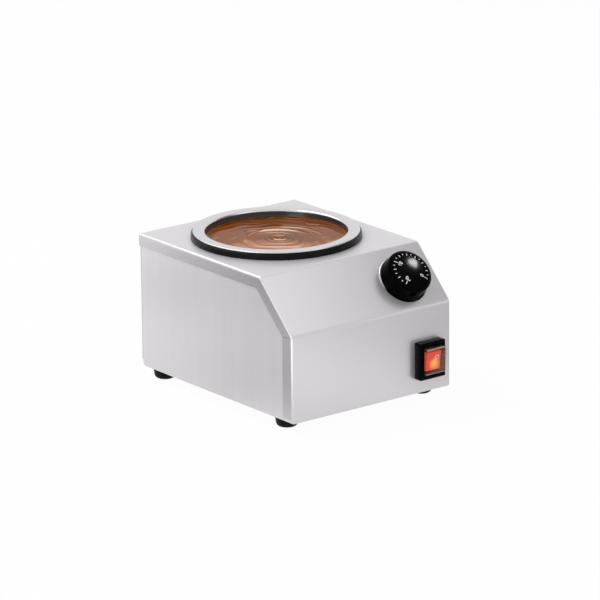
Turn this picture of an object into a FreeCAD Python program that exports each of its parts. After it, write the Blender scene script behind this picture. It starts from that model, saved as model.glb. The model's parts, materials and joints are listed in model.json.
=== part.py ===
"""Electric chocolate melter: a folded steel box with one lift-out melting pan, a dial and a switch.

Millimetres. +X is to the right, the front panel faces -Y and +Z is up. The origin is the
middle of the whole box that the melter fills, at the level of the surface it stands on.
"""

import FreeCAD, Part
import math
import os

from FreeCAD import Placement, Rotation, Vector

# Body: a box with its upper front corner sloped off
BODY_W = 200.0
BODY_D = 252.0
BODY_H = 140.0
SLOPE_RUN = 50.0
SLOPE_DROP = 50.0
SHEET = 1.0
FIT = 0.2  # clearance between sheets that slide past each other
SEAT = 0.1  # clearance between faces that are screwed together
PAST = 1.0  # how far a cutting shape runs past the face that it opens
NEAR = 0.01  # tolerance for picking an edge by its place

# Folds of the sheet
FLANGE = 13.0  # cover flange over the sides and the rear, along the deck and the slope
FRONT_FLANGE = 15.0  # the same flange along the front
BEND_R = 6.0  # bends at the top and the foot of the slope
EDGE_R = 2.4  # folds along the outline
FOLD_CLEAR = 0.7  # a cut in a flange starts this far inside the fold
HEM_R = 2.0  # folds along the bottom and up the rear of the chassis
REAR_R = 3.0  # rear fold of the cover
CORNER_R = 4.5  # lower corners of the front and of the sides
MITRE = 0.3  # width of the open seams at the flange corners
MITRE_START = 0.4  # a seam starts this far inside the fold
MITRE_END = 0.5  # and runs this far past the flange
LIP = 14.0  # front lip, folded back under the base
LIP_END = 5.0  # from the end of the lip to the side of the cover
REAR_LIP = 12.0  # inward lips of the chassis that carry the rear panel
SKIN_DEPTH = 3.0  # depth of the cut that opens the top of the chassis
TONGUE_END = 6.0  # from the end of the front tongue to the side of its notch
TONGUE_FIT = 0.4  # the tongue's joggle behind the lip
TONGUE_LEAN = 0.4  # shift of the joggle through the sheet, in steps

# Feet
FOOT_H = 10.2
FOOT_TOP_R = 12.0
FOOT_BASE_R = 10.5
FOOT_EDGE_R = 4.6
FOOT_CREST_R = 0.5
FOOT_SIDE = 15.0  # foot centre from the side
FOOT_FRONT = 28.0  # foot centre from the front
FOOT_REAR = 22.0  # foot centre from the rear
FOOT_SINK_R = 5.0
FOOT_SINK_D = 5.6

# Screws: shank radius, head radius and head height of the three sizes
M3 = (1.5, 2.8, 1.9)
M4 = (2.0, 3.8, 2.4)
STAT_SCREW = (2.0, 3.8, 1.6)
COVER_SCREW_L = 7.0
PANEL_SCREW_L = 6.0
CUTOUT_SCREW_L = 2.5
STAT_SCREW_L = 4.0
THREAD_PAST = 1.0  # a thread runs this far past its nut
HEAD_ROUND = 0.6  # rounding of a head, in head heights
RECESS_W = 0.28  # arms of the cross recess, in head radii
RECESS_L = 1.1
RECESS_D = 0.5  # depth of the recess, in head heights
HOLE_PLAY = 0.25  # a clearance hole is this much larger in radius than its screw
TIGHT_PLAY = 0.05  # play of a threaded hole, modelled plain
HOLE_REACH = 6.0  # half length of a drill
NUT_W = 7.0  # across flats
NUT_H = 3.2
HEX_TURNED = 0.555  # radius of the turned corners of a hexagon, in widths across flats
WASHER_R = 4.5
WASHER_T = 0.8
REAR_SCREW_SIDE = 28.0  # outer screws of the rear flange from the side
LIP_SCREW_SIDE = 34.0  # outer screws of the lip from the side
LIP_SCREW_IN = 8.4  # screws of the lip from the front
PANEL_SCREW_LOW = 25.2  # lowest screws of the rear panel above the underside
PANEL_SCREW_TOP = 28.0  # highest ones below the deck
PANEL_SCREW_IN = 6.6  # and from the side of the chassis

# Pan, its ring and the deck hole
PAN_OPEN_R = 71.8
PAN_FLOOR_R = 66.0
PAN_DEPTH = 92.0
PAN_WALL = 0.8
PAN_FLOOR_BEND = 14.0
PAN_LIP_BEND = 2.6
RIM_W = 12.5  # rim outside the pan's opening
RIM_T = 1.6
RIM_ROUND = 0.45  # rounding of the rim's edge, in rim thicknesses
RING_PAST = 2.2  # the ring outside the rim
RING_H = 6.0
RING_PLAY = 2.8  # between the pan's wall and the ring's bore
RING_TAPER = 0.6  # the ring is this much smaller at its top
RING_CHAMFER = 1.5
RING_ROUND = 0.5
RING_NECK = 2.6  # from the ring's bore to the edge of the deck hole
SNAP_GRIP = 2.4  # lip of the ring behind the edge of the deck hole
SNAP_H = 3.4
SNAP_TAPER = 1.2
PAN_BACK = 2.0  # pan centre behind the middle of the deck

# Heating well round the pan
WELL_DROP = 5.0  # top of the well's flange below the deck
WELL_GAP = 1.8  # air gap between pan and well
WELL_WALL = 1.2
WELL_BRIM = 2.6  # flange of the well outside the ring's lip
WELL_LIP_BEND = 1.5
SPACER_R = 3.8
SPACER_GAP = 6.8  # from the ring's lip to the spacers
EAR_HALF = 6.0
EAR_ROOT = 3.0  # the ears start this far outside the well's opening
STUD_R = 2.0
STUD_PAST = 2.5
JACKET_T = 7.0
JACKET_LOW = 16.0  # lower edge of the insulation above the well's floor
JACKET_TOP = 4.0  # upper edge below the well's flange
JACKET_ROUND = 1.5
PAD_R = 56.0
PAD_T = 1.5
PLATE_R = 52.0
PLATE_T = 2.0
CUTOUT_AT = 30.0  # thermal cut-out from the middle of the plate
CUTOUT_R = 8.0
CUTOUT_H = 9.0
CUTOUT_CAP_H = 4.0
CUTOUT_STEP = 1.0
CUTOUT_SCREW_AT = 12.0
CUTOUT_EAR_HALF = 3.5
CUTOUT_EAR_T = 1.0
CUTOUT_EAR_END = 4.0

# Dial on the slope
DIAL_SIDE = 42.0  # dial centre from the right side
DIAL_DROP = 2.4  # dial centre below the middle of the slope, along it
DIAL_R = 25.4
DIAL_RIM_H = 4.4  # top of the flange round the foot of the dial
DIAL_BODY_R = 24.7
DIAL_BODY_H = 5.2
DIAL_NECK_R = 24.1
DIAL_NECK_H = 16.2
DIAL_SHOULDER = 2.2
DIAL_FACE_R = 20.8
DIAL_FACE_H = 18.0
DIAL_DOME = 2.0
DIAL_LIFT = 1.7  # lower edge of the dial above the slope
DIAL_WALL = 3.0
DIAL_ROUND = 0.6
HUB_R = 6.0
SHAFT_R = 3.0
SHAFT_FLAT = 2.0  # from the axis to the flat of the shaft
SHAFT_PLAY = 0.1
SHAFT_HOLE = 1.5  # clearance round the shaft in the cover
BEZEL_R = 26.2
BEZEL_BORE_R = 22.5
BEZEL_T = 1.2
BEZEL_ROUND = 0.6

# Capillary thermostat under the slope
STAT_W = 34.0
STAT_L = 30.0
STAT_H = 18.0
STAT_BODY_W = 21.0
STAT_WING_H = 8.0
STAT_SCREWS = 28.0  # distance between its two screws
STAT_PLATE_T = 1.2
STAT_PLATE_ROUND = 3.0
STAT_BODY_ROUND = 2.0
STAT_WING_L = 18.0
STAT_TAB_X = 8.0  # tabs from the axis
BULB_R = 3.0
BULB_L = 60.0
BULB_END_R = 1.8
BULB_ANGLE = -60.0  # place of the bulb round the well, from +X
BULB_UP = 2.0  # bulb above the lower edge of the insulation
BULB_SLOT = 7.8  # half width of the slot in the insulation
CLIP_T = 0.9
CLIP_H = 10.0
CLIP_WING_T = 0.8
CLIP_WING_START = 0.3
CLIP_BACK = 1.2  # open side of the clip from the axis of the bulb
CAPILLARY_R = 1.0
CAPILLARY_LEAD = 14.0  # straight run behind the thermostat
CAPILLARY_DROP = 22.0  # straight run below the bulb
CAPILLARY_SLACK = Vector(4, -6, -14)  # how the loop hangs out of the straight line

# Push-on tabs and the sleeves over them
TAB_W = 6.3
TAB_T = 0.8
TAB_L = 9.0
SLEEVE_T = 1.2
SLEEVE_START = 1.5
SLEEVE_PAST = 5.0
SLEEVE_ROUND = 0.7

# Rocker switch on the front panel
SWITCH_SIDE = 29.4  # window of the switch, its centre from the right side
SWITCH_Z = 35.1  # and above the underside of the body
FRAME_W = 32.5
FRAME_H = 38.2
FRAME_T = 9.5
FRAME_DROP = 0.3  # frame centre below the window centre
FRAME_CHAMFER = 1.4
FRAME_ROUND = 1.5
CAP_W = 24.6
CAP_H = 27.6
CAP_WALL = 1.0
CAP_PROUD_TOP = 5.6
CAP_PROUD_LOW = 3.4
CAP_ROUND = 2.0
CAP_FLANGE = 1.4
CAP_FLANGE_T = 1.0
CUT_W = 22.0
CUT_H = 28.0
HOUSING_D = 20.0
HOUSING_FLANGE = 0.95
HOUSING_FLANGE_T = 1.6
COLLAR_H = 7.0
ROCKER_W = 18.0
ROCKER_H = 20.0
ROCKER_PLAY = 0.4  # at each side of the rocker
ROCKER_SWING = 1.2  # room for its ends
ROCKER_FLOOR = 8.0  # depth of its well in the housing
ROCKER_BASE = 3.0  # underside of the rocker behind its pivot
ROCKER_WALL = 2.0
ROCKER_TAPER = 0.6
ROCKER_ROUND = 0.8
ROCKER_TILT = 7.0  # half of the rocker's swing, degrees
ROCKER_FACE = 6.4  # middle of its face in front of the pivot
PIVOT_OUT = 2.5  # pivot in front of the panel
PIVOT_R = 1.6
PIVOT_PAST = 1.3  # pins past the sides of the rocker
PIVOT_END = 0.2
LAMP_R = 1.8
LAMP_HALF = 5.0
SNAP_HALF = 4.0  # half width of the wedges that hold the housing
SNAP_RISE = 0.9
SNAP_ROOT = 0.5
SNAP_LONG = 5.0
SWITCH_TAB_X = 5.0
SWITCH_TAB_Y = 7.0

# Cable gland on the rear panel
GLAND_SIDE = 38.0  # gland from the right side
GLAND_Z = 38.0  # above the underside of the body
GLAND_THREAD_R = 8.0
GLAND_TAIL = 9.0
GLAND_BORE_R = 5.2
GLAND_HEX = 20.0
GLAND_HEX_T = 5.0
GLAND_NECK = 0.6  # the outer thread is this much smaller in radius
GLAND_COLLAR_H = 6.0
GLAND_OUT = 18.2  # end of the dome nut from the rear panel
DOME_HEX_H = 6.5
DOME_BASE_R = 10.4
DOME_END = 1.6  # flat ring round the dome nut's opening
DOME_ROUND = 3.5
LOCK_T = 4.0
SEAL_BORE_R = 3.6
SEAL_L = 10.0
SEAL_IN = 1.0  # the seal starts this far inside the hexagon

# Terminal block and earth stud on the base
BLOCK_SIDE = 60.0  # centre of the block from the right side
BLOCK_REAR = 48.0  # and from the rear
BLOCK_WAY = 11.0
BLOCK_TOWER = 8.6
BLOCK_D = 16.0
BLOCK_H = 15.0
BLOCK_FOOT_T = 4.0
BLOCK_END = 5.5  # fixing screws past the outer towers
BLOCK_SCREW_R = 1.6
BLOCK_SCREW_PLAY = 0.2
BLOCK_SCREW_AT = 4.0  # clamp screws from the middle of a tower
BLOCK_SCREW_H = 3.6
BLOCK_SCREW_SUNK = 1.2
TUNNEL_R = 1.7
TUNNEL_H = 7.5  # middle of the wire tunnels below the towers' tops
EARTH_SIDE = 22.0
EARTH_REAR = 60.0
EARTH_H = 14.0
LUG_R = 5.0
LUG_T = 0.9
LUG_GRIP = 0.6  # end of the wire on the lug

# Wires
BEND_SHARE = 0.45  # of the shorter run at a bend, what its arc takes up
WIRE_R = 1.1
WIRE_LEAD = 12.0  # straight run behind a sleeve
CUTOUT_LEAD = 8.0
WIRE_IN = 3.0  # end of a wire inside the terminal block
WIRE_RISE = 20.0  # run over which the supply wires rise to the switch
PAD_LEAD_AT = 54.0  # leads of the heater pad from its middle
PAD_LEAD_HALF = 6.0  # half of the distance between the two leads
PAD_LEAD_DROP = 26.0
STAT_SWING = Vector(8, 20, -37)  # wire from the thermostat, first bend
STAT_RUN = 30.0  # and its run beside the well
RETURN_SWING = Vector(-20, 19, -15)  # return wire of the heater, before the switch
EARTH_RUN = 12.0

# Vent slots in the base
VENT_COUNT = 7
VENT_PITCH = 11.0
VENT_L = 30.0
VENT_W = 4.0
VENT_ROW = 22.5  # middle of a row from the middle of the well
VENT_FLAT = 0.04  # straight piece left in the middle of a slot's end

# Levels and planes worked out from the sizes above
FRONT_REACH = FRAME_T + CAP_PROUD_TOP
REAR_REACH = GLAND_OUT - SHEET - FIT
FRONT_Y = FRONT_REACH - (FRONT_REACH + BODY_D + REAR_REACH) / 2
REAR_Y = FRONT_Y + BODY_D
UNDER_Z = FOOT_H
DECK_Z = UNDER_Z + BODY_H
SLOPE = math.atan2(SLOPE_DROP, SLOPE_RUN)
CHASSIS_HALF = BODY_W / 2 - SHEET - FIT
FOLD_BORE = EDGE_R - SHEET  # inner radius of the cover's side folds
SIDE_DROP = FOLD_BORE - math.sqrt((FOLD_BORE - SEAT) ** 2 - (FOLD_BORE - FIT) ** 2)
PANEL_REAR_Y = REAR_Y - SHEET - FIT
PAN_Y = FRONT_Y + (SLOPE_RUN + BODY_D) / 2 + PAN_BACK
FLOOR_Z = UNDER_Z + SHEET
PAN_SEAT_Z = DECK_Z + RING_H + FIT
WELL_TOP_Z = DECK_Z - WELL_DROP
PAN_UNDER_Z = PAN_SEAT_Z + RIM_T - PAN_DEPTH - PAN_WALL
WELL_FLOOR_Z = PAN_UNDER_Z - WELL_GAP
WELL_UNDER_Z = WELL_FLOOR_Z - WELL_WALL
PAD_UNDER_Z = WELL_UNDER_Z - SEAT - PAD_T
PLATE_UNDER_Z = PAD_UNDER_Z - SEAT - PLATE_T
CUTOUT_TOP_Z = PLATE_UNDER_Z - SEAT
RIM_R = PAN_OPEN_R + RIM_W
RING_R = RIM_R + RING_PAST
RING_BORE_R = PAN_OPEN_R + PAN_WALL + RING_PLAY
DECK_HOLE_R = RING_BORE_R + RING_NECK
SNAP_R = DECK_HOLE_R + SNAP_GRIP
WELL_FLANGE_R = SNAP_R + WELL_BRIM
WELL_OPEN_R = PAN_OPEN_R + PAN_WALL + WELL_GAP
WELL_FLOOR_R = PAN_FLOOR_R + PAN_WALL + WELL_GAP
EAR_R = SNAP_R + SPACER_GAP + SPACER_R  # pitch radius of the fixing studs
STAT_BACK = SHEET + SEAT + STAT_PLATE_T + SEAT + STAT_H  # back of the thermostat below the slope
BLOCK_X = BODY_W / 2 - BLOCK_SIDE
BLOCK_Y = REAR_Y - BLOCK_REAR
BLOCK_REACH = BLOCK_WAY + BLOCK_TOWER / 2 + BLOCK_END  # middle of the block to a fixing screw
TUNNEL_Z = FLOOR_Z + SEAT + BLOCK_H - TUNNEL_H
EARTH_X = BODY_W / 2 - EARTH_SIDE
EARTH_Y = REAR_Y - EARTH_REAR

# Local frames: x to the right, z out of the panel
ALONG_X = Vector(1, 0, 0)
UPRIGHT = Vector(0, 0, 1)
UP_SLOPE = Vector(0, math.cos(SLOPE), math.sin(SLOPE))
OFF_SLOPE = Vector(0, -math.sin(SLOPE), math.cos(SLOPE))
SLOPE_MIDDLE = Vector(BODY_W / 2 - DIAL_SIDE, FRONT_Y + SLOPE_RUN / 2, DECK_Z - SLOPE_DROP / 2)
DIAL_PLACE = SLOPE_MIDDLE - UP_SLOPE * DIAL_DROP
ON_SLOPE = Placement(DIAL_PLACE, Rotation(ALONG_X, UP_SLOPE, OFF_SLOPE, "ZXY"))
SWITCH_PLACE = Vector(BODY_W / 2 - SWITCH_SIDE, FRONT_Y, UNDER_Z + SWITCH_Z)
ON_FRONT = Placement(SWITCH_PLACE, Rotation(ALONG_X, UPRIGHT, Vector(0, -1, 0), "ZXY"))
REARWARD = Rotation(Vector(-1, 0, 0), UPRIGHT, Vector(0, 1, 0), "ZXY")
GLAND_PLACE = Vector(BODY_W / 2 - GLAND_SIDE, PANEL_REAR_Y, UNDER_Z + GLAND_Z)
ON_REAR = Placement(GLAND_PLACE, REARWARD)
AT_PAN = Placement(Vector(0, PAN_Y, 0), Rotation())
DOWN = Rotation(ALONG_X, Vector(0, -1, 0), Vector(0, 0, -1), "ZXY")
AT_BULB = AT_PAN.multiply(Placement(Vector(0, 0, 0), Rotation(UPRIGHT, BULB_ANGLE)))

NODES = {}


def box(x_range, y_range, z_range):
    """A box between two corners, each axis given as its low and high value."""
    low = Vector(x_range[0], y_range[0], z_range[0])
    sizes = (x_range[1] - x_range[0], y_range[1] - y_range[0], z_range[1] - z_range[0])
    return Part.makeBox(*sizes, low)


def centred(width, height):
    """Low and high values of a width and of a height about zero."""
    return (-width / 2, width / 2), (-height / 2, height / 2)


def post(radius, low, high, x=0.0, y=0.0):
    """A round post along z."""
    return Part.makeCylinder(radius, high - low, Vector(x, y, low))


def tube(outer, inner, low, high, x=0.0, y=0.0):
    """A round tube along z."""
    return post(outer, low, high, x, y).cut(post(inner, low - PAST, high + PAST, x, y))


def hexagon(flats, low, high):
    """A hexagonal bar along z, sized across its flats, with its corners turned off."""
    reach = flats / math.sqrt(3)
    angles = [math.radians(60 * step) for step in range(7)]
    points = [Vector(reach * math.cos(a), reach * math.sin(a), low) for a in angles]
    bar = Part.Face(Part.makePolygon(points)).extrude(Vector(0, 0, high - low))
    return bar.common(post(flats * HEX_TURNED, low, high))


def placed(shape, place):
    """A copy of the shape, moved from its own frame to the place."""
    moved = shape.copy()
    moved.Placement = place.multiply(moved.Placement)
    return moved


def fused(shapes):
    """The shapes joined to one, without the seams between them."""
    return shapes[0].multiFuse(shapes[1:]).removeSplitter()


def rounded_face(corners, to_vector):
    """A face from corners (u, v, radius), each rounded by a tangent arc of its radius."""
    points = [to_vector(u, v) for u, v, radius in corners]
    edges = []
    ends = []
    for index, (u, v, radius) in enumerate(corners):
        here = points[index]
        before = (points[index - 1] - here).normalize()
        after = (points[(index + 1) % len(points)] - here).normalize()
        if radius <= 0:
            ends.append((here, here))
            continue
        half = before.getAngle(after) / 2
        run = radius / math.tan(half)
        start = here + before * run
        end = here + after * run
        inward = (before + after).normalize()
        middle = here + inward * (radius / math.sin(half) - radius)
        edges.append(Part.Arc(start, middle, end).toShape())
        ends.append((start, end))
    for index, (start, end) in enumerate(ends):
        following = ends[(index + 1) % len(ends)][0]
        if end.distanceToPoint(following) > 1e-6:
            edges.append(Part.makeLine(end, following))
    return Part.Face(Part.Wire(Part.sortEdges(edges)[0]))


def lathe(corners, level=0.0):
    """A turned solid about z from corners (radius, height, rounding)."""
    face = rounded_face(corners, lambda u, v: Vector(u, 0, v + level))
    return face.revolve(Vector(0, 0, 0), UPRIGHT, 360)


def side_outline(inset, foot=0.0):
    """Corners (y, z) of the body's side view, moved inwards by the inset.

    They run up the front, over the slope and the deck, and down the rear.
    """
    front = FRONT_Y + inset
    bend = DECK_Z - SLOPE_DROP - inset * (1 - math.sin(SLOPE)) / math.cos(SLOPE)
    crest = FRONT_Y + SLOPE_RUN + inset * (1 - math.cos(SLOPE)) / math.sin(SLOPE)
    top = DECK_Z - inset
    rear = REAR_Y - inset
    return [(front, UNDER_Z + foot), (front, bend), (crest, top), (rear, top), (rear, UNDER_Z + foot)]


def flange_outline(inset=0.0):
    """Corners (y, z) of the inner edge of the cover's side flange, moved further in by the inset."""
    corners = side_outline(FLANGE + inset)
    front = FRONT_Y + FRONT_FLANGE + inset
    climb = (FRONT_FLANGE + inset) * math.tan(SLOPE) - (FLANGE + inset) / math.cos(SLOPE)
    corners[0] = (front, UNDER_Z)
    corners[1] = (front, DECK_Z - SLOPE_DROP + climb)
    return corners


def prism(corners, low_x, high_x):
    """A prism across x from corners (y, z, rounding)."""
    face = rounded_face(corners, lambda u, v: Vector(low_x, u, v))
    return face.extrude(Vector(high_x - low_x, 0, 0))


def with_edges_rounded(solid, radius, wanted):
    """The solid with a fillet on each edge whose middle point passes the test."""
    edges = []
    for edge in solid.Edges:
        middle = edge.valueAt((edge.FirstParameter + edge.LastParameter) / 2)
        if wanted(middle, edge):
            edges.append(edge)
    return solid.makeFillet(radius, edges)


def upright(point, edge):
    """Whether an edge runs along z."""
    return abs(edge.tangentAt(edge.FirstParameter).z) > 1 - NEAR


def screw(size, length):
    """A pan-head screw in its own frame: the head above z = 0, the shank below."""
    shank_r, head_r, head_h = size
    head = lathe([(0, 0, 0), (head_r, 0, 0), (head_r, head_h, head_h * HEAD_ROUND), (0, head_h, 0)])
    long = head_r * RECESS_L
    short = head_r * RECESS_W
    for x_range, y_range in (centred(long, short), centred(short, long)):
        head = head.cut(box(x_range, y_range, (head_h * (1 - RECESS_D), head_h + PAST)))
    return head.fuse(post(shank_r, -length, 0)).removeSplitter()


def nut(bore_r):
    """A hexagon nut in its own frame, standing on z = 0."""
    return hexagon(NUT_W, 0, NUT_H).cut(post(bore_r, -PAST, NUT_H + PAST))


def group(shape, places):
    """Separate copies of one shape, as one node."""
    return Part.makeCompound([placed(shape, place) for place in places])


def bent_tube(points, radius):
    """A round tube along straight runs that are joined by arcs as large as the runs allow."""
    edges = []
    start = points[0]
    for before, here, after in zip(points, points[1:], points[2:]):
        run_in = here - before
        run_out = after - here
        turn = run_in.getAngle(run_out)
        reach = BEND_SHARE * min(run_in.Length, run_out.Length)
        bend = reach / math.tan(turn / 2)
        back = Vector(run_in).normalize() * -1
        on = Vector(run_out).normalize()
        arc_end = here + on * reach
        middle = here + (back + on).normalize() * (bend / math.cos(turn / 2) - bend)
        edges.append(Part.makeLine(start, here + back * reach))
        edges.append(Part.Arc(here + back * reach, middle, arc_end).toShape())
        start = arc_end
    edges.append(Part.makeLine(start, points[-1]))
    circle = Part.Wire(Part.makeCircle(radius, points[0], points[1] - points[0]))
    return Part.Wire(edges).makePipeShell([circle], True, False)


def foot_places(level):
    """Where the four feet are, by name, at a level."""
    across = BODY_W / 2 - FOOT_SIDE
    depths = {"front": FRONT_Y + FOOT_FRONT, "rear": REAR_Y - FOOT_REAR}
    sides = {"left": -across, "right": across}
    return {(d, s): Vector(sides[s], depths[d], level) for d in depths for s in sides}


def rear_flange_screws():
    """Places of the screws through the cover's rear flange."""
    level = DECK_Z - FLANGE / 2
    reach = BODY_W / 2 - REAR_SCREW_SIDE
    return [Placement(Vector(x, REAR_Y, level), REARWARD) for x in (-reach, 0, reach)]


def lip_screws():
    """Places of the screws under the front lip."""
    reach = BODY_W / 2 - LIP_SCREW_SIDE
    y = FRONT_Y + LIP_SCREW_IN
    return [Placement(Vector(x, y, UNDER_Z), DOWN) for x in (-reach, 0, reach)]


def rear_panel_screws():
    """Places of the screws that hold the rear panel to the chassis lips."""
    across = CHASSIS_HALF - PANEL_SCREW_IN
    low = UNDER_Z + PANEL_SCREW_LOW
    high = DECK_Z - PANEL_SCREW_TOP
    levels = (low, (low + high) / 2, high)
    return [Placement(Vector(x, PANEL_REAR_Y, z), REARWARD) for x in (-across, across) for z in levels]


def stud_points():
    """Places of the four studs round the well, on the diagonals."""
    reach = EAR_R * math.sqrt(0.5)
    return [(x, PAN_Y + y) for x in (-reach, reach) for y in (-reach, reach)]


def drilled(solid, places, radius):
    """The solid with a round hole through it at each place."""
    return solid.cut(group(post(radius, -HOLE_REACH, HOLE_REACH), places))


def make_top_cover():
    """Deck, slope and front in one folded sheet, with flanges over the sides and the rear."""
    half = BODY_W / 2

    def folded(inset):
        rounding = [HEM_R, BEND_R, BEND_R, REAR_R, 0]
        outline = side_outline(inset, inset)
        corners = [(y, z, max(r - inset, 0)) for (y, z), r in zip(outline, rounding)]
        solid = prism(corners, inset - half, half - inset)

        def on_outline(point, edge):
            at_side = abs(abs(point.x) - half + inset) < NEAR
            at_foot = point.z < UNDER_Z + inset + NEAR
            at_rear = abs(point.y - corners[4][0]) < NEAR
            return at_side and not at_foot and not at_rear

        return with_edges_rounded(solid, EDGE_R - inset, on_outline)

    cover = folded(0.0).cut(folded(SHEET))
    fold = EDGE_R + FOLD_CLEAR
    window = [(y, z, 0) for y, z in flange_outline()]
    window[0] = (window[0][0], UNDER_Z - PAST, 0)
    window[3] = (REAR_Y + PAST, window[3][1], 0)
    window[4] = (REAR_Y + PAST, UNDER_Z - PAST, 0)
    for low_x, high_x in ((-half - PAST, fold - half), (half - fold, half + PAST)):
        cover = cover.cut(prism(window, low_x, high_x))
    across = (-half - PAST, half + PAST)
    below = (UNDER_Z - PAST, DECK_Z - FLANGE)
    cover = cover.cut(box(across, (REAR_Y - fold, REAR_Y + PAST), below))
    cover = cover.cut(box(across, (FRONT_Y + LIP, REAR_Y + PAST), (UNDER_Z - PAST, UNDER_Z + fold)))
    for side in (-1, 1):
        reach = sorted((side * (half - LIP_END), side * (half + PAST)))
        behind = (FRONT_Y + SHEET, FRONT_Y + LIP + PAST)
        cover = cover.cut(box(reach, behind, (UNDER_Z - PAST, UNDER_Z + CORNER_R)))
        cover = cover.cut(lower_corner(side))
        cover = cover.cut(Part.makeCompound(mitres(side)))
    cover = cover.cut(post(DECK_HOLE_R, DECK_Z - SHEET - PAST, DECK_Z + PAST, 0, PAN_Y))
    cover = cover.cut(placed(stat_holes(SHAFT_R + SHAFT_HOLE, HOLE_PLAY), ON_SLOPE))
    opening = box(*centred(CUT_W, CUT_H), (-SHEET - PAST, PAST))
    cover = cover.cut(placed(opening, ON_FRONT))
    cover = drilled(cover, rear_flange_screws(), M3[0] + HOLE_PLAY)
    return drilled(cover, lip_screws(), M3[0] + HOLE_PLAY)


def lower_corner(side):
    """What is cut away to round a lower corner of the front panel."""
    edge = side * BODY_W / 2
    x_range = sorted((edge - side * CORNER_R, edge + side * PAST))
    thick = (FRONT_Y - PAST, FRONT_Y + SHEET + PAST)
    block = box(x_range, thick, (UNDER_Z - PAST, UNDER_Z + CORNER_R))
    centre = Vector(edge - side * CORNER_R, FRONT_Y - 2 * PAST, UNDER_Z + CORNER_R)
    return block.cut(Part.makeCylinder(CORNER_R, SHEET + 4 * PAST, centre, Vector(0, 1, 0)))


def mitres(side):
    """Thin blades that open the seams of the side flange: at the two bends and at the rear."""
    outer = side_outline(EDGE_R + MITRE_START)
    inner = flange_outline(MITRE_END)
    x_range = sorted((side * (BODY_W / 2 - SHEET - SEAT), side * (BODY_W / 2 + PAST)))
    blades = []
    for corner in (1, 2):
        start = Vector(x_range[0], *outer[corner])
        end = Vector(x_range[0], *inner[corner])
        across = (end - start).cross(ALONG_X).normalize() * (MITRE / 2)
        corners = [start + across, end + across, end - across, start - across, start + across]
        outline = Part.makePolygon(corners)
        blades.append(Part.Face(outline).extrude(Vector(x_range[1] - x_range[0], 0, 0)))
    rear = (REAR_Y - EDGE_R - MITRE, REAR_Y - EDGE_R)
    tall = (DECK_Z - FLANGE - PAST, DECK_Z - EDGE_R - MITRE_START)
    blades.append(box(x_range, rear, tall))
    return blades


def stat_holes(shaft_hole, play):
    """The shaft hole and the two screw holes of the thermostat, in the frame of the slope."""
    holes = [post(shaft_hole, -HOLE_REACH, HOLE_REACH)]
    for side in (-1, 1):
        holes.append(post(M4[0] + play, -HOLE_REACH, HOLE_REACH, side * STAT_SCREWS / 2))
    return Part.makeCompound(holes)


def make_chassis():
    """Base and side panels in one folded sheet, with lips at the rear and a joggled front tongue."""

    def tray(inset):
        outline = side_outline(SHEET + SIDE_DROP + inset, inset)
        rear = PANEL_REAR_Y - SHEET - SEAT - inset
        corners = [(y, z, r) for (y, z), r in zip(outline[:3], (0, BEND_R, BEND_R))]
        corners.append((rear, outline[3][1], 0))
        corners.append((rear, outline[4][1], CORNER_R - inset))
        half = CHASSIS_HALF - inset
        solid = prism(corners, -half, half)

        def folds(point, edge):
            at_side = abs(abs(point.x) - half) < NEAR
            at_base = point.z < UNDER_Z + inset + CORNER_R
            at_rear = point.y > rear - CORNER_R
            ends = point.y < corners[0][0] + NEAR or point.z > corners[3][1] - NEAR
            return at_side and (at_base or at_rear) and not ends

        return with_edges_rounded(solid, HEM_R - inset, folds)

    inside = (SHEET - CHASSIS_HALF, CHASSIS_HALF - SHEET)
    chassis = tray(0.0).cut(tray(SHEET))
    chassis = chassis.cut(box(inside, (FRONT_Y, FRONT_Y + SKIN_DEPTH), (FLOOR_Z, DECK_Z)))
    chassis = chassis.cut(prism(top_skin(), *inside))
    window = CHASSIS_HALF - REAR_LIP
    behind = (PANEL_REAR_Y - SHEET - CORNER_R, REAR_Y)
    chassis = chassis.cut(box((-window, window), behind, (UNDER_Z + REAR_LIP, DECK_Z)))
    chassis = with_tongue(chassis)
    chassis = drilled(chassis, lip_screws(), M3[0] + TIGHT_PLAY)
    chassis = drilled(chassis, rear_panel_screws(), M3[0] + TIGHT_PLAY)
    feet = [Placement(point, Rotation()) for point in foot_places(UNDER_Z).values()]
    chassis = drilled(chassis, feet, M4[0] + HOLE_PLAY)
    chassis = drilled(chassis, block_screw_places(FLOOR_Z), M3[0] + TIGHT_PLAY)
    return chassis.cut(Part.makeCompound(vents())).removeSplitter()


def top_skin():
    """Side view of the band that is cut away to open the top of the chassis."""
    outer = side_outline(SHEET)
    inner = side_outline(SHEET + SIDE_DROP + SKIN_DEPTH)
    top = [(outer[1][0], outer[0][1] + SHEET, 0), (outer[1][0], outer[1][1], 0)]
    top += [(outer[2][0], outer[2][1], 0), (REAR_Y, outer[2][1], 0), (REAR_Y, inner[3][1], 0)]
    return top + [(inner[2][0], inner[2][1], 0), (inner[1][0], inner[1][1], 0), (inner[0][0], FLOOR_Z, 0)]


def with_tongue(chassis):
    """The chassis with its front edge joggled up over the cover's lip."""
    step = SHEET + SEAT
    joint = FRONT_Y + LIP + step + TONGUE_FIT
    front = FRONT_Y + SHEET + FIT + SHEET
    notch = BODY_W / 2 - LIP_END + FIT
    below = (UNDER_Z - PAST, FLOOR_Z + 2 * SHEET)
    chassis = chassis.cut(box((-notch, notch), (FRONT_Y - PAST, joint), below))
    side_view = [
        (joint, UNDER_Z),
        (joint - step, UNDER_Z + step),
        (front, UNDER_Z + step),
        (front, FLOOR_Z + step),
        (joint - step * (1 - TONGUE_LEAN), FLOOR_Z + step),
        (joint + step * TONGUE_LEAN, FLOOR_Z),
        (joint + SHEET, FLOOR_Z),
        (joint + SHEET, UNDER_Z),
    ]
    reach = BODY_W / 2 - LIP_END - TONGUE_END
    return chassis.fuse(prism([(y, z, 0) for y, z in side_view], -reach, reach))


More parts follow.
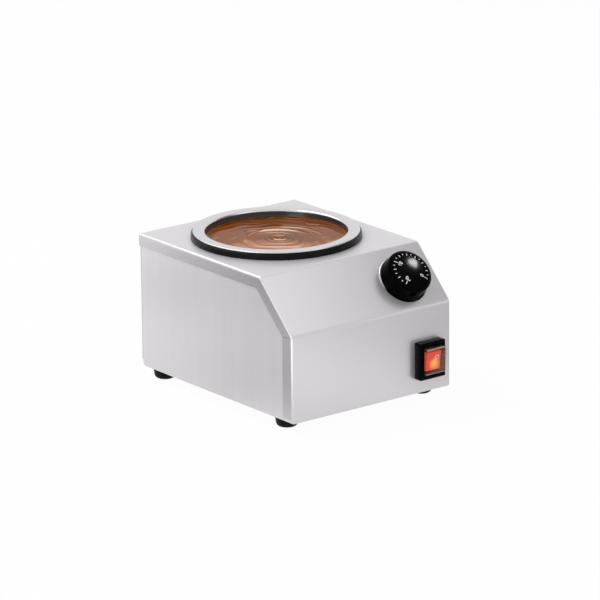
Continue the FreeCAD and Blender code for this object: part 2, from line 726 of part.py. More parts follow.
def vents():
    """Two rows of round-ended slots under the well."""
    slots = []
    half = VENT_W / 2
    for row in (-1, 1):
        y = PAN_Y + row * VENT_ROW
        for step in range(VENT_COUNT):
            x = (step - (VENT_COUNT - 1) / 2) * VENT_PITCH
            end = half - VENT_FLAT / 2
            corners = [(x - half, y - VENT_L / 2, end), (x + half, y - VENT_L / 2, end)]
            corners += [(x + half, y + VENT_L / 2, end), (x - half, y + VENT_L / 2, end)]
            face = rounded_face(corners, lambda u, v: Vector(u, v, UNDER_Z - PAST))
            slots.append(face.extrude(Vector(0, 0, SHEET + 2 * PAST)))
    return slots


def make_rear_panel():
    """Flat panel screwed to the lips of the chassis, its top edge under the cover's flange."""
    half = BODY_W / 2 - SHEET - SIDE_DROP
    low = UNDER_Z + CORNER_R + FIT
    high = DECK_Z - REAR_R - FIT
    foot_r = CORNER_R - SHEET
    corners = [(-half, low, foot_r), (half, low, foot_r), (half, high, SHEET), (-half, high, SHEET)]
    face = rounded_face(corners, lambda u, v: Vector(u, PANEL_REAR_Y - SHEET, v))
    panel = face.extrude(Vector(0, SHEET, 0))
    panel = drilled(panel, [ON_REAR], GLAND_THREAD_R + FIT)
    panel = drilled(panel, rear_flange_screws(), M3[0] + TIGHT_PLAY)
    return drilled(panel, rear_panel_screws(), M3[0] + HOLE_PLAY)


def make_foot(place):
    """Turned rubber foot, recessed from below for its screw."""
    top = FOOT_H - SEAT
    corners = [(0, 0, 0), (FOOT_BASE_R, 0, FOOT_EDGE_R), (FOOT_TOP_R, top, FOOT_CREST_R), (0, top, 0)]
    body = lathe(corners)
    body = body.cut(post(M4[0] + HOLE_PLAY, -PAST, FOOT_H + PAST))
    body = body.cut(post(FOOT_SINK_R, -PAST, FOOT_SINK_D))
    return placed(body, Placement(place, Rotation()))


def add_feet():
    """Feet with their washers, screws and nuts."""
    places = foot_places(0)
    for (depth, side), place in places.items():
        NODES["foot_" + depth + "_" + side] = make_foot(place)
    standing = [Placement(place, Rotation()) for place in places.values()]
    washer_top = FOOT_SINK_D - SEAT
    washer = tube(WASHER_R, M4[0] + HOLE_PLAY, washer_top - WASHER_T, washer_top)
    NODES["foot_washers"] = group(washer, standing)
    head_level = washer_top - WASHER_T - SEAT
    length = FLOOR_Z + SEAT + NUT_H + THREAD_PAST - head_level
    heads = [Placement(place + Vector(0, 0, head_level), DOWN) for place in places.values()]
    NODES["foot_screws"] = group(screw(M4, length), heads)
    tops = [Placement(place + Vector(0, 0, FLOOR_Z + SEAT), Rotation()) for place in places.values()]
    NODES["foot_nuts"] = group(nut(M4[0] + TIGHT_PLAY), tops)


def add_casing():
    """Cover, chassis and rear panel, with the screws that hold them."""
    NODES["top_cover"] = make_top_cover()
    NODES["chassis"] = make_chassis()
    NODES["rear_panel"] = make_rear_panel()
    above = Placement(Vector(0, 0, SEAT), Rotation())
    cover_screw = screw(M3, COVER_SCREW_L)
    NODES["cover_screws"] = group(cover_screw, [p.multiply(above) for p in rear_flange_screws()])
    NODES["front_lip_screws"] = group(cover_screw, [p.multiply(above) for p in lip_screws()])
    panel_screw = screw(M3, PANEL_SCREW_L)
    NODES["rear_panel_screws"] = group(panel_screw, [p.multiply(above) for p in rear_panel_screws()])


def add_pan():
    """Lift-out pan and the ring that it rests on."""
    rim_top = PAN_SEAT_Z + RIM_T
    floor = rim_top - PAN_DEPTH
    pan = lathe([
        (0, floor, 0),
        (PAN_FLOOR_R, floor, PAN_FLOOR_BEND),
        (PAN_OPEN_R, rim_top, PAN_LIP_BEND),
        (RIM_R, rim_top, RIM_T * RIM_ROUND),
        (RIM_R, PAN_SEAT_Z, RIM_T * RIM_ROUND),
        (PAN_OPEN_R + PAN_WALL, PAN_SEAT_Z, PAN_LIP_BEND - RIM_T),
        (PAN_FLOOR_R + PAN_WALL, floor - PAN_WALL, PAN_FLOOR_BEND + PAN_WALL),
        (0, floor - PAN_WALL, 0),
    ])
    NODES["melting_pan"] = placed(pan, AT_PAN)
    groove_r = DECK_HOLE_R - FIT
    under = -SHEET - SEAT
    ring = lathe([
        (RING_BORE_R, under - SNAP_H, RING_ROUND),
        (SNAP_R - SNAP_TAPER, under - SNAP_H, RING_ROUND),
        (SNAP_R, under, 0),
        (groove_r, under, 0),
        (groove_r, SEAT, 0),
        (RING_R, SEAT, RING_ROUND),
        (RING_R - RING_TAPER, RING_H, RING_CHAMFER),
        (RING_BORE_R, RING_H, RING_ROUND),
    ], DECK_Z)
    NODES["pan_ring"] = placed(ring, AT_PAN)


def add_well():
    """Heating well under the deck, with its fixings."""
    top = WELL_TOP_Z
    flange_under = top - WELL_WALL
    well = lathe([
        (0, WELL_FLOOR_Z, 0),
        (WELL_FLOOR_R, WELL_FLOOR_Z, PAN_FLOOR_BEND + WELL_GAP),
        (WELL_OPEN_R, top, WELL_LIP_BEND),
        (WELL_FLANGE_R, top, 0),
        (WELL_FLANGE_R, flange_under, 0),
        (WELL_OPEN_R + WELL_WALL, flange_under, WELL_LIP_BEND - WELL_WALL),
        (WELL_FLOOR_R + WELL_WALL, WELL_UNDER_Z, PAN_FLOOR_BEND + WELL_GAP + WELL_WALL),
        (0, WELL_UNDER_Z, 0),
    ])
    blank = box((WELL_OPEN_R + EAR_ROOT, EAR_R), (-EAR_HALF, EAR_HALF), (flange_under, top))
    ear = blank.fuse(post(EAR_HALF, flange_under, top, EAR_R))
    ear = ear.cut(post(STUD_R + HOLE_PLAY, flange_under - PAST, top + PAST, EAR_R))
    turns = [Placement(Vector(0, 0, 0), Rotation(UPRIGHT, angle)) for angle in (45, 135, 225, 315)]
    NODES["heating_well"] = placed(fused([well] + [placed(ear, turn) for turn in turns]), AT_PAN)
    points = stud_points()
    deck_under = DECK_Z - SHEET - SEAT
    nut_low = flange_under - SEAT - NUT_H
    studs = [post(STUD_R, nut_low - STUD_PAST, deck_under, x, y) for x, y in points]
    NODES["well_studs"] = Part.makeCompound(studs)
    bore = STUD_R + TIGHT_PLAY
    spacers = [tube(SPACER_R, bore, top + SEAT, deck_under, x, y) for x, y in points]
    NODES["well_spacers"] = Part.makeCompound(spacers)
    places = [Placement(Vector(x, y, nut_low), Rotation()) for x, y in points]
    NODES["well_nuts"] = group(nut(bore), places)


def add_heater():
    """Heater pad pressed to the well's floor by a plate, on one central stud, and its cut-out."""
    hole = STUD_R + HOLE_PLAY
    plate_top = PLATE_UNDER_Z + PLATE_T
    NODES["heater_pad"] = placed(tube(PAD_R, hole, PAD_UNDER_Z, PAD_UNDER_Z + PAD_T), AT_PAN)
    plate = tube(PLATE_R, hole, PLATE_UNDER_Z, plate_top)
    stud_low = CUTOUT_TOP_Z - NUT_H - STUD_PAST
    NODES["heater_stud"] = placed(post(STUD_R, stud_low, PAD_UNDER_Z + PAD_T), AT_PAN)
    low = Placement(Vector(0, PAN_Y, CUTOUT_TOP_Z - NUT_H), Rotation())
    NODES["heater_nut"] = placed(nut(STUD_R + TIGHT_PLAY), low)
    top = CUTOUT_TOP_Z
    step_z = top - CUTOUT_CAP_H
    parts = [post(CUTOUT_R, step_z, top, CUTOUT_AT)]
    parts.append(post(CUTOUT_R - CUTOUT_STEP, top - CUTOUT_H, step_z, CUTOUT_AT))
    ear_x = (CUTOUT_AT - CUTOUT_EAR_HALF, CUTOUT_AT + CUTOUT_EAR_HALF)
    reach = CUTOUT_SCREW_AT + CUTOUT_EAR_END
    parts.append(box(ear_x, (-reach, reach), (top - CUTOUT_EAR_T, top)))
    to_pan = AT_PAN.inverse()
    parts += [placed(tab(0), to_pan.multiply(cutout_tab(side))) for side in (-1, 1)]
    body = fused(parts)
    heads = []
    for side in (-1, 1):
        y = side * CUTOUT_SCREW_AT
        plate = plate.cut(post(M3[0] + TIGHT_PLAY, PLATE_UNDER_Z - PAST, plate_top + PAST, CUTOUT_AT, y))
        body = body.cut(post(M3[0] + HOLE_PLAY, top - CUTOUT_H, top + PAST, CUTOUT_AT, y))
        heads.append(Placement(Vector(CUTOUT_AT, PAN_Y + y, top - CUTOUT_EAR_T - SEAT), DOWN))
    NODES["heater_plate"] = placed(plate, AT_PAN)
    NODES["thermal_cutout"] = placed(body, AT_PAN)
    NODES["cutout_screws"] = group(screw(M3, CUTOUT_SCREW_L), heads)


def well_radius(level):
    """Outer radius of the well's wall at a level."""
    share = (level - WELL_UNDER_Z) / (WELL_TOP_Z - WELL_WALL - WELL_UNDER_Z)
    return WELL_WALL + WELL_FLOOR_R + share * (WELL_OPEN_R - WELL_FLOOR_R)


def add_jacket():
    """Insulation jacket round the well, slotted for the sensor bulb, and the bulb with its clip."""
    low = WELL_UNDER_Z + JACKET_LOW
    high = WELL_TOP_Z - JACKET_TOP
    inner_low = well_radius(low) + FIT
    inner_high = well_radius(high) + FIT
    jacket = lathe([
        (inner_low, low, 0),
        (inner_low + JACKET_T, low, JACKET_ROUND),
        (inner_high + JACKET_T, high, JACKET_ROUND),
        (inner_high, high, 0),
    ])
    slot = box((0, BODY_W / 2), (-BULB_SLOT, BULB_SLOT), (low - PAST, high + PAST))
    at_slot = AT_PAN.inverse().multiply(AT_BULB)
    NODES["insulation_jacket"] = placed(jacket.cut(placed(slot, at_slot)), AT_PAN)
    bulb_low = low + BULB_UP
    bulb_high = bulb_low + BULB_L
    away = well_radius(bulb_high) + BULB_R + SEAT
    corners = [(0, bulb_low, 0), (BULB_R, bulb_low, BULB_END_R), (BULB_R, bulb_high, BULB_END_R)]
    corners.append((0, bulb_high, 0))
    bulb = placed(lathe(corners), Placement(Vector(away, 0, 0), Rotation()))
    NODES["sensor_bulb"] = placed(bulb, AT_BULB)
    middle = (bulb_low + bulb_high) / 2
    span = (middle - CLIP_H / 2, middle + CLIP_H / 2)
    clip = tube(BULB_R + CLIP_T, BULB_R + SEAT, *span, away)
    back = away - CLIP_BACK
    open_y = (-BULB_R - CLIP_T - PAST, BULB_R + CLIP_T + PAST)
    clip = clip.cut(box((back - 2 * BULB_R, back), open_y, (span[0] - PAST, span[1] + PAST)))
    for side in (-1, 1):
        wing = sorted((side * (BULB_R + CLIP_WING_START), side * (BULB_SLOT - CLIP_WING_START)))
        clip = clip.fuse(box((back, back + CLIP_WING_T), wing, span))
    NODES["bulb_clip"] = placed(clip.removeSplitter(), AT_BULB)
    foot = AT_BULB.multVec(Vector(away, 0, bulb_low - SEAT))
    outlet = ON_SLOPE.multVec(Vector(0, 0, -STAT_BACK - SEAT))
    past = ON_SLOPE.multVec(Vector(0, 0, -STAT_BACK - CAPILLARY_LEAD))
    below = foot - Vector(0, 0, CAPILLARY_DROP)
    slack = (past + below) * 0.5 + CAPILLARY_SLACK
    NODES["capillary_tube"] = bent_tube([outlet, past, slack, below, foot], CAPILLARY_R)


def add_dial():
    """Dial and bezel on the slope, and the shaft that carries the dial."""
    top = DIAL_FACE_H + DIAL_DOME
    knob = lathe([
        (0, DIAL_LIFT, 0),
        (DIAL_R, DIAL_LIFT, DIAL_ROUND / 2),
        (DIAL_R, DIAL_RIM_H, DIAL_ROUND),
        (DIAL_BODY_R, DIAL_BODY_H, DIAL_ROUND / 2),
        (DIAL_NECK_R, DIAL_NECK_H, DIAL_SHOULDER),
        (DIAL_FACE_R, DIAL_FACE_H, DIAL_ROUND),
        (DIAL_FACE_R - DIAL_DOME, top, 0),
        (0, top, 0),
    ])
    sphere_r = (DIAL_FACE_R ** 2 + DIAL_DOME ** 2) / (2 * DIAL_DOME)
    knob = knob.common(Part.makeSphere(sphere_r, Vector(0, 0, top - sphere_r)))
    hollow_top = DIAL_FACE_H - DIAL_WALL
    below = DIAL_LIFT - PAST
    knob = knob.cut(lathe([
        (HUB_R, below, 0),
        (DIAL_BODY_R - DIAL_WALL, below, 0),
        (DIAL_NECK_R - DIAL_WALL, DIAL_NECK_H - DIAL_WALL / 2, DIAL_ROUND),
        (DIAL_FACE_R - DIAL_WALL, hollow_top, DIAL_ROUND),
        (HUB_R, hollow_top, 0),
    ]))
    wide = (-SHAFT_R - PAST, SHAFT_R + PAST)
    bore = post(SHAFT_R + TIGHT_PLAY, below, DIAL_NECK_H + SEAT)
    keep = SHAFT_FLAT + TIGHT_PLAY
    bore = bore.cut(box((keep, wide[1]), wide, (below - PAST, DIAL_NECK_H + PAST)))
    NODES["dial_knob"] = placed(knob.cut(bore), ON_SLOPE)
    shaft = post(SHAFT_R, -STAT_BACK + STAT_H / 2, DIAL_NECK_H)
    shaft = shaft.cut(box((SHAFT_FLAT, wide[1]), wide, (FIT, DIAL_NECK_H + PAST)))
    NODES["thermostat_shaft"] = placed(shaft, ON_SLOPE)
    bezel = lathe([
        (BEZEL_BORE_R, SEAT, 0),
        (BEZEL_R, SEAT, 0),
        (BEZEL_R, BEZEL_T, BEZEL_ROUND),
        (BEZEL_BORE_R, BEZEL_T, 0),
    ])
    NODES["dial_bezel"] = placed(bezel, ON_SLOPE)


def add_thermostat():
    """Thermostat body on its plate, screwed to the slope beside the shaft."""
    plate_top = -SHEET - SEAT
    plate_low = plate_top - STAT_PLATE_T
    long_half = STAT_SCREWS / 2 + M4[1] + SHEET
    plate = box((-long_half, long_half), (-STAT_L / 4, STAT_L / 4), (plate_low, plate_top))
    plate = with_edges_rounded(plate, STAT_PLATE_ROUND, upright)
    holes = stat_holes(SHAFT_R + SHAFT_PLAY, TIGHT_PLAY)
    NODES["thermostat_plate"] = placed(plate.cut(holes), ON_SLOPE)
    body = box(*centred(STAT_BODY_W, STAT_L), (-STAT_BACK, plate_low - SEAT))
    body = with_edges_rounded(body, STAT_BODY_ROUND, upright)
    wings = box(*centred(STAT_W, STAT_WING_L), (-STAT_BACK, STAT_WING_H - STAT_BACK))
    shaft_end = -STAT_BACK + STAT_H / 2
    shaft_hole = post(SHAFT_R + SHAFT_PLAY, shaft_end - FIT, plate_low + PAST)
    NODES["thermostat_body"] = placed(fused([body, wings]).cut(shaft_hole), ON_SLOPE)
    heads = [Placement(Vector(side * STAT_SCREWS / 2, 0, SEAT), Rotation()) for side in (-1, 1)]
    NODES["thermostat_screws"] = placed(group(screw(STAT_SCREW, STAT_SCREW_L), heads), ON_SLOPE)
    NODES["thermostat_terminals"] = group(tab(), [stat_tab(side) for side in (-1, 1)])


def tab(start=SEAT):
    """A push-on tab in its own frame, pointing along z."""
    return box(*centred(TAB_T, TAB_W), (start, TAB_L))


def tab_frame(frame, x, y, z):
    """Frame of a tab that points along -z of the frame of its part."""
    return frame.multiply(Placement(Vector(x, y, z), Rotation(ALONG_X, 180)))


def switch_tab(side, row):
    """Frame of one of the four tabs of the switch: side -1 or 1, row -1 below or 1 above."""
    return tab_frame(ON_FRONT, side * SWITCH_TAB_X, row * SWITCH_TAB_Y, -HOUSING_D)


def switch_tabs():
    """Frames of all four tabs of the switch."""
    return [switch_tab(side, row) for side in (-1, 1) for row in (-1, 1)]


def stat_tab(side):
    """Frame of one of the two tabs of the thermostat."""
    return tab_frame(ON_SLOPE, side * STAT_TAB_X, 0, -STAT_BACK)


def cutout_tab(side):
    """Frame of one of the two tabs of the thermal cut-out."""
    return tab_frame(AT_PAN, CUTOUT_AT + side * CUTOUT_R / 2, 0, CUTOUT_TOP_Z - CUTOUT_H)


def add_switch():
    """Rocker switch, snapped into the front panel."""
    near = CAP_WALL + FIT
    flange = 2 * HOUSING_FLANGE
    parts = [
        box(*centred(CUT_W - 2 * FIT, CUT_H - 2 * FIT), (-HOUSING_D, SEAT)),
        box(*centred(CAP_W + flange, CAP_H + flange), (SEAT, HOUSING_FLANGE_T)),
        box(*centred(CAP_W - 2 * near, CAP_H - 2 * near), (SEAT, COLLAR_H)),
    ]
    parts += [snap_wedge(side) for side in (-1, 1)]
    room = centred(ROCKER_W + 2 * ROCKER_PLAY, ROCKER_H + 2 * ROCKER_SWING)
    housing = fused(parts).cut(box(*room, (-ROCKER_FLOOR, COLLAR_H + PAST)))
    across = Rotation(Vector(0, 1, 0), 90)
    pin_end = ROCKER_W / 2 + PIVOT_PAST
    hole = post(PIVOT_R + TIGHT_PLAY, -pin_end - PIVOT_END, pin_end + PIVOT_END)
    housing = housing.cut(placed(hole, Placement(Vector(0, 0, PIVOT_OUT), across)))
    NODES["switch_housing"] = placed(housing, ON_FRONT)
    at_lamp = Placement(Vector(0, 0, SEAT + LAMP_R - ROCKER_FLOOR), across)
    NODES["switch_lamp"] = placed(post(LAMP_R, -LAMP_HALF, LAMP_HALF), ON_FRONT.multiply(at_lamp))
    pins = placed(post(PIVOT_R, -pin_end, pin_end), Placement(Vector(0, 0, 0), across))
    tilted = Placement(Vector(0, 0, PIVOT_OUT), Rotation(ALONG_X, ROCKER_TILT))
    NODES["switch_rocker"] = placed(fused([rocker_body(), pins]), ON_FRONT.multiply(tilted))
    NODES["switch_terminals"] = group(tab(), switch_tabs())


def snap_wedge(side):
    """A wedge on the housing that snaps behind the panel."""
    edge = CUT_H / 2 - FIT
    near = -SHEET - SEAT
    points = [Vector(-SNAP_HALF, side * (edge - SNAP_ROOT), near)]
    points.append(Vector(-SNAP_HALF, side * (edge + SNAP_RISE), near))
    points.append(Vector(-SNAP_HALF, side * edge, near - SNAP_LONG))
    points.append(Vector(-SNAP_HALF, side * (edge - SNAP_ROOT), near - SNAP_LONG))
    return Part.Face(Part.makePolygon(points + points[:1])).extrude(Vector(2 * SNAP_HALF, 0, 0))


def rocker_body():
    """The rocker about its pivot, its face bent to a shallow V."""
    half = ROCKER_H / 2
    rise = half * math.tan(math.radians(ROCKER_TILT))
    foot = half * ROCKER_TAPER
    inner = half - SNAP_ROOT
    corners = [
        (0, ROCKER_FACE, 0),
        (half, ROCKER_FACE + rise, ROCKER_ROUND),
        (inner, ROCKER_FACE - ROCKER_WALL, 0),
        (foot, -ROCKER_BASE, ROCKER_ROUND),
        (-foot, -ROCKER_BASE, ROCKER_ROUND),
        (-inner, ROCKER_FACE - ROCKER_WALL, 0),
        (-half, ROCKER_FACE + rise, ROCKER_ROUND),
    ]
    return prism(corners, -ROCKER_W / 2, ROCKER_W / 2)


def add_splash_cover():
    """Black frame and the clear cap that it clamps over the rocker."""
    cap_low = HOUSING_FLANGE_T + SEAT
    seat_w = CAP_W + 2 * CAP_FLANGE
    seat_h = CAP_H + 2 * CAP_FLANGE
    across, upward = centred(FRAME_W, FRAME_H)
    frame = box(across, (upward[0] - FRAME_DROP, upward[1] - FRAME_DROP), (SEAT, FRAME_T))
    front_edges = [edge for edge in frame.Edges if abs(edge.CenterOfMass.z - FRAME_T) < NEAR]
    frame = frame.makeChamfer(FRAME_CHAMFER, front_edges)
    frame = with_edges_rounded(frame, FRAME_ROUND, upright)
    window = box(*centred(CAP_W + 2 * FIT, CAP_H + 2 * FIT), (-PAST, FRAME_T + PAST))
    recess = box(*centred(seat_w, seat_h), (-PAST, cap_low + CAP_FLANGE_T + SEAT))
    NODES["switch_frame"] = placed(frame.cut(window).cut(recess), ON_FRONT)

    def bubble(inset, low):
        half = CAP_H / 2 - inset
        rounding = CAP_ROUND - inset
        corners = [
            (-half, low, 0),
            (half, low, 0),
            (half, FRAME_T + CAP_PROUD_TOP - inset, rounding),
            (-half, FRAME_T + CAP_PROUD_LOW - inset, rounding),
        ]
        return prism(corners, inset - CAP_W / 2, CAP_W / 2 - inset)

    rim = box(*centred(seat_w - 2 * FIT, seat_h - 2 * FIT), (cap_low, cap_low + CAP_FLANGE_T))
    cap = fused([bubble(0.0, cap_low), rim]).cut(bubble(CAP_WALL, cap_low - PAST))
    NODES["switch_cap"] = placed(cap, ON_FRONT)


def add_gland():
    """Cable gland through the rear panel: body, locknut, rubber seal and dome nut."""
    collar_top = GLAND_HEX_T + GLAND_COLLAR_H
    neck_r = GLAND_THREAD_R - GLAND_NECK
    body = fused([
        post(GLAND_THREAD_R, -GLAND_TAIL, GLAND_HEX_T),
        hexagon(GLAND_HEX, SEAT, GLAND_HEX_T),
        post(neck_r, GLAND_HEX_T, collar_top),
    ])
    body = body.cut(post(GLAND_BORE_R, -GLAND_TAIL - PAST, collar_top + PAST))
    NODES["gland_body"] = placed(body, ON_REAR)
    lock_top = -SHEET - SEAT
    lock = hexagon(GLAND_HEX, lock_top - LOCK_T, lock_top)
    lock = lock.cut(post(GLAND_THREAD_R + TIGHT_PLAY, lock_top - LOCK_T - PAST, PAST))
    NODES["gland_locknut"] = placed(lock, ON_REAR)
    seal_low = GLAND_HEX_T - SEAL_IN
    seal_top = seal_low + SEAL_L
    seal = tube(GLAND_BORE_R - SEAT, SEAL_BORE_R, seal_low, seal_top)
    NODES["gland_seal"] = placed(seal, ON_REAR)
    dome_low = GLAND_HEX_T + FIT
    shoulder = dome_low + DOME_HEX_H
    dome = lathe([
        (0, shoulder - SEAL_IN, 0),
        (DOME_BASE_R, shoulder - SEAL_IN, 0),
        (SEAL_BORE_R + DOME_END, GLAND_OUT, DOME_ROUND),
        (0, GLAND_OUT, 0),
    ])
    dome = fused([dome, hexagon(GLAND_HEX, dome_low, shoulder)])
    dome = dome.cut(post(neck_r + TIGHT_PLAY, dome_low - PAST, collar_top + SEAT))
    dome = dome.cut(post(GLAND_BORE_R, collar_top, seal_top + SEAT))
    dome = dome.cut(post(SEAL_BORE_R + GLAND_NECK, collar_top, GLAND_OUT + PAST))
    NODES["gland_nut"] = placed(dome, ON_REAR)


def block_screw_places(level):
    """Places of the two screws of the terminal block."""
    return [Placement(Vector(BLOCK_X + side * BLOCK_REACH, BLOCK_Y, level), Rotation()) for side in (-1, 1)]


def add_terminals():
    """Three-way terminal block and the earth stud on the base."""
    low = FLOOR_Z + SEAT
    top = low + BLOCK_H
    foot_top = low + BLOCK_FOOT_T
    reach = BLOCK_REACH + M3[1]
    depth = (BLOCK_Y - BLOCK_D / 2, BLOCK_Y + BLOCK_D / 2)
    parts = [box((BLOCK_X - reach, BLOCK_X + reach), depth, (low, foot_top))]
    screws = []
    for way in (-1, 0, 1):
        x = BLOCK_X + way * BLOCK_WAY
        tower = box((x - BLOCK_TOWER / 2, x + BLOCK_TOWER / 2), depth, (foot_top - PAST, top))
        start = Vector(x, depth[0] - PAST, TUNNEL_Z)
        tower = tower.cut(Part.makeCylinder(TUNNEL_R, BLOCK_D + 2 * PAST, start, Vector(0, 1, 0)))
        for side in (-1, 1):
            y = BLOCK_Y + side * BLOCK_SCREW_AT
            screw_top = top - BLOCK_SCREW_SUNK
            screw_low = screw_top - BLOCK_SCREW_H
            hole = post(BLOCK_SCREW_R + BLOCK_SCREW_PLAY, screw_low - SEAT, top + PAST, x, y)
            tower = tower.cut(hole)
            screws.append(post(BLOCK_SCREW_R, screw_low, screw_top, x, y))
        parts.append(tower)
    block = fused(parts)
    places = block_screw_places(foot_top)
    NODES["terminal_block"] = drilled(block, places, M3[0] + HOLE_PLAY)
    NODES["terminal_screws"] = Part.makeCompound(screws)
    above = Placement(Vector(0, 0, SEAT), Rotation())
    fixing = screw(M3, BLOCK_FOOT_T + SHEET + THREAD_PAST)
    NODES["block_screws"] = group(fixing, [place.multiply(above) for place in places])
    NODES["earth_stud"] = post(STUD_R, low, low + EARTH_H, EARTH_X, EARTH_Y)
    place = Placement(Vector(EARTH_X, EARTH_Y, low + LUG_T + 2 * SEAT), Rotation())
    NODES["earth_nut"] = placed(nut(STUD_R + TIGHT_PLAY), place)


def tab_sleeve():
    """Insulating sleeve pushed over a tab, in the frame of the tab."""
    wide = SEAT + SLEEVE_T
    outside = centred(TAB_T + 2 * wide, TAB_W + 2 * wide)
    body = box(*outside, (SLEEVE_START, TAB_L + SLEEVE_PAST))
    body = with_edges_rounded(body, SLEEVE_ROUND, upright)
    inside = centred(TAB_T + 2 * SEAT, TAB_W + 2 * SEAT)
    return body.cut(box(*inside, (SLEEVE_START - PAST, TAB_L + SEAT)))


def wire_end(frame, lead=WIRE_LEAD):
    """End of a wire at the sleeve over a tab, and where its straight lead stops."""
    end = TAB_L + SLEEVE_PAST + SEAT
    return [frame.multVec(Vector(0, 0, end)), frame.multVec(Vector(0, 0, end + lead))]


def add_wires():
    """Sleeves over the tabs, and the wires between block, switch, thermostat, cut-out and heater."""
    NODES["switch_sleeves"] = group(tab_sleeve(), switch_tabs())
    NODES["thermostat_sleeves"] = group(tab_sleeve(), [stat_tab(side) for side in (-1, 1)])
    NODES["cutout_sleeves"] = group(tab_sleeve(), [cutout_tab(side) for side in (-1, 1)])
    inside = BLOCK_Y - BLOCK_D / 2 + WIRE_IN
    supply = []
    for side in (-1, 1):
        x = BLOCK_X + (side - 1) / 2 * BLOCK_WAY
        end, lead = wire_end(switch_tab(side, -1))
        rise = Vector(x, lead.y + WIRE_RISE, TUNNEL_Z)
        supply.append(bent_tube([Vector(x, inside, TUNNEL_Z), rise, lead, end], WIRE_R))
    NODES["supply_wires"] = Part.makeCompound(supply)
    switched = wire_end(switch_tab(1, 1)) + wire_end(stat_tab(1))[::-1]
    NODES["switched_wire"] = bent_tube(switched, WIRE_R)
    NODES["heater_wires"] = Part.makeCompound(heater_wires())
    x = BLOCK_X + BLOCK_WAY
    low = FLOOR_Z + 2 * SEAT
    wire_z = low + SEAT + WIRE_R
    path = [Vector(x, inside, TUNNEL_Z), Vector(x, inside - EARTH_RUN, TUNNEL_Z)]
    path.append(Vector(x + EARTH_RUN, EARTH_Y - EARTH_RUN / 2, wire_z))
    path.append(Vector(EARTH_X - LUG_R + LUG_GRIP, EARTH_Y, wire_z))
    lug = tube(LUG_R, STUD_R + HOLE_PLAY, low, low + LUG_T - SEAT, EARTH_X, EARTH_Y)
    NODES["earth_wire"] = fused([bent_tube(path, WIRE_R), lug])


def heater_wires():
    """Thermostat to cut-out, cut-out to heater pad, and heater pad back to the switch."""
    pad_z = PAD_UNDER_Z - SEAT
    pad_y = PAN_Y - PAD_LEAD_AT
    feed, lead = wire_end(stat_tab(-1))
    turn = lead + STAT_SWING
    cut_in, below_in = wire_end(cutout_tab(1), CUTOUT_LEAD)
    beside = Vector(turn.x, turn.y + STAT_RUN, below_in.z)
    wires = [bent_tube([feed, lead, turn, beside, below_in, cut_in], WIRE_R)]
    cut_out, below_out = wire_end(cutout_tab(-1), CUTOUT_LEAD)
    at_pad = Vector(PAD_LEAD_HALF, pad_y, pad_z)
    under = at_pad - Vector(0, 0, PAD_LEAD_DROP)
    wires.append(bent_tube([cut_out, below_out, under, at_pad], WIRE_R))
    end, lead = wire_end(switch_tab(-1, 1))
    at_pad = Vector(-PAD_LEAD_HALF, pad_y, pad_z)
    under = at_pad - Vector(0, 0, PAD_LEAD_DROP)
    wires.append(bent_tube([at_pad, under, lead + RETURN_SWING, lead, end], WIRE_R))
    return wires


def main():
    """Build every piece and write one file for each."""
    add_casing()
    add_feet()
    add_pan()
    add_well()
    add_heater()
    add_jacket()
    add_dial()
    add_thermostat()
    add_switch()
    add_splash_cover()
    add_gland()
    add_terminals()
    add_wires()
    os.makedirs("parts", exist_ok=True)
    for name, shape in sorted(NODES.items()):
        solids = shape.Solids
        clean = solids[0] if len(solids) == 1 else Part.makeCompound(solids)
        clean.exportStep("parts/" + name + ".step")
        print(name, len(solids), "solids", "valid" if clean.isValid() else "INVALID", round(clean.Volume, 1))


main()
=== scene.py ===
# %% [markdown]
# A chocolate melter for a counter: a box of folded stainless steel, a lift-out pan of melted
# chocolate, a thermostat dial on the slope and a lit rocker switch. The solids of its
# construction are already there, at their real size. This lesson gives each of them its
# finish, and makes the pieces that need finer forms than a plain solid has.

# %% Load the solids of the melter
import bpy
import bmesh
import json
import math
from mathutils import Matrix, Vector, noise


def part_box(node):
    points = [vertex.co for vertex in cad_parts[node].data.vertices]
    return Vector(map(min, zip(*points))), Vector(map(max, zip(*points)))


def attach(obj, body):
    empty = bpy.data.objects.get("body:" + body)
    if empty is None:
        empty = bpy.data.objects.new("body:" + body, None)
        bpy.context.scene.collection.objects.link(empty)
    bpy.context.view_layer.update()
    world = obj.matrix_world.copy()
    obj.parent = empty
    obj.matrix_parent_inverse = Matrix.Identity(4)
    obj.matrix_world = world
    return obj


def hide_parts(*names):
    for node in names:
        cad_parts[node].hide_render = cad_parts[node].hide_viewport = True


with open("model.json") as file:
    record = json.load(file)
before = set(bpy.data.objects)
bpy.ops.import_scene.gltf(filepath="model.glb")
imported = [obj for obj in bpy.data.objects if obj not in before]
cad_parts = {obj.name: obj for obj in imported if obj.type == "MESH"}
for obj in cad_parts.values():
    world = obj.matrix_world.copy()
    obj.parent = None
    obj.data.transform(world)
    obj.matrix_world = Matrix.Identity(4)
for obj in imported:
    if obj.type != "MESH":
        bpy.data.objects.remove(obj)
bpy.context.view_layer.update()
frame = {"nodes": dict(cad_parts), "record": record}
nodes = frame["nodes"]
behaviour = frame["record"]["behaviour"]
joints = {joint["name"]: joint for joint in behaviour["joints"]}
MM = 0.001

# %% [markdown]
# The photograph was taken from the front left, slightly above, through a long lens, so its
# parallel edges stay nearly parallel. A camera five metres away with a 298 mm lens on a 36 mm
# sensor gives the same drawing. Its direction is written as three angles, which is easier to
# correct than a matrix.

# %% Camera at the photograph's place
AIM = Vector((14.1, 6.55, 85.2)) * MM
YAW = math.radians(37.72)
PITCH = math.radians(16.84)
ROLL = math.radians(-0.54)
DISTANCE = 5.0
LENS = 297.8
SENSOR = 36.0
FAR_CLIP = 50.0

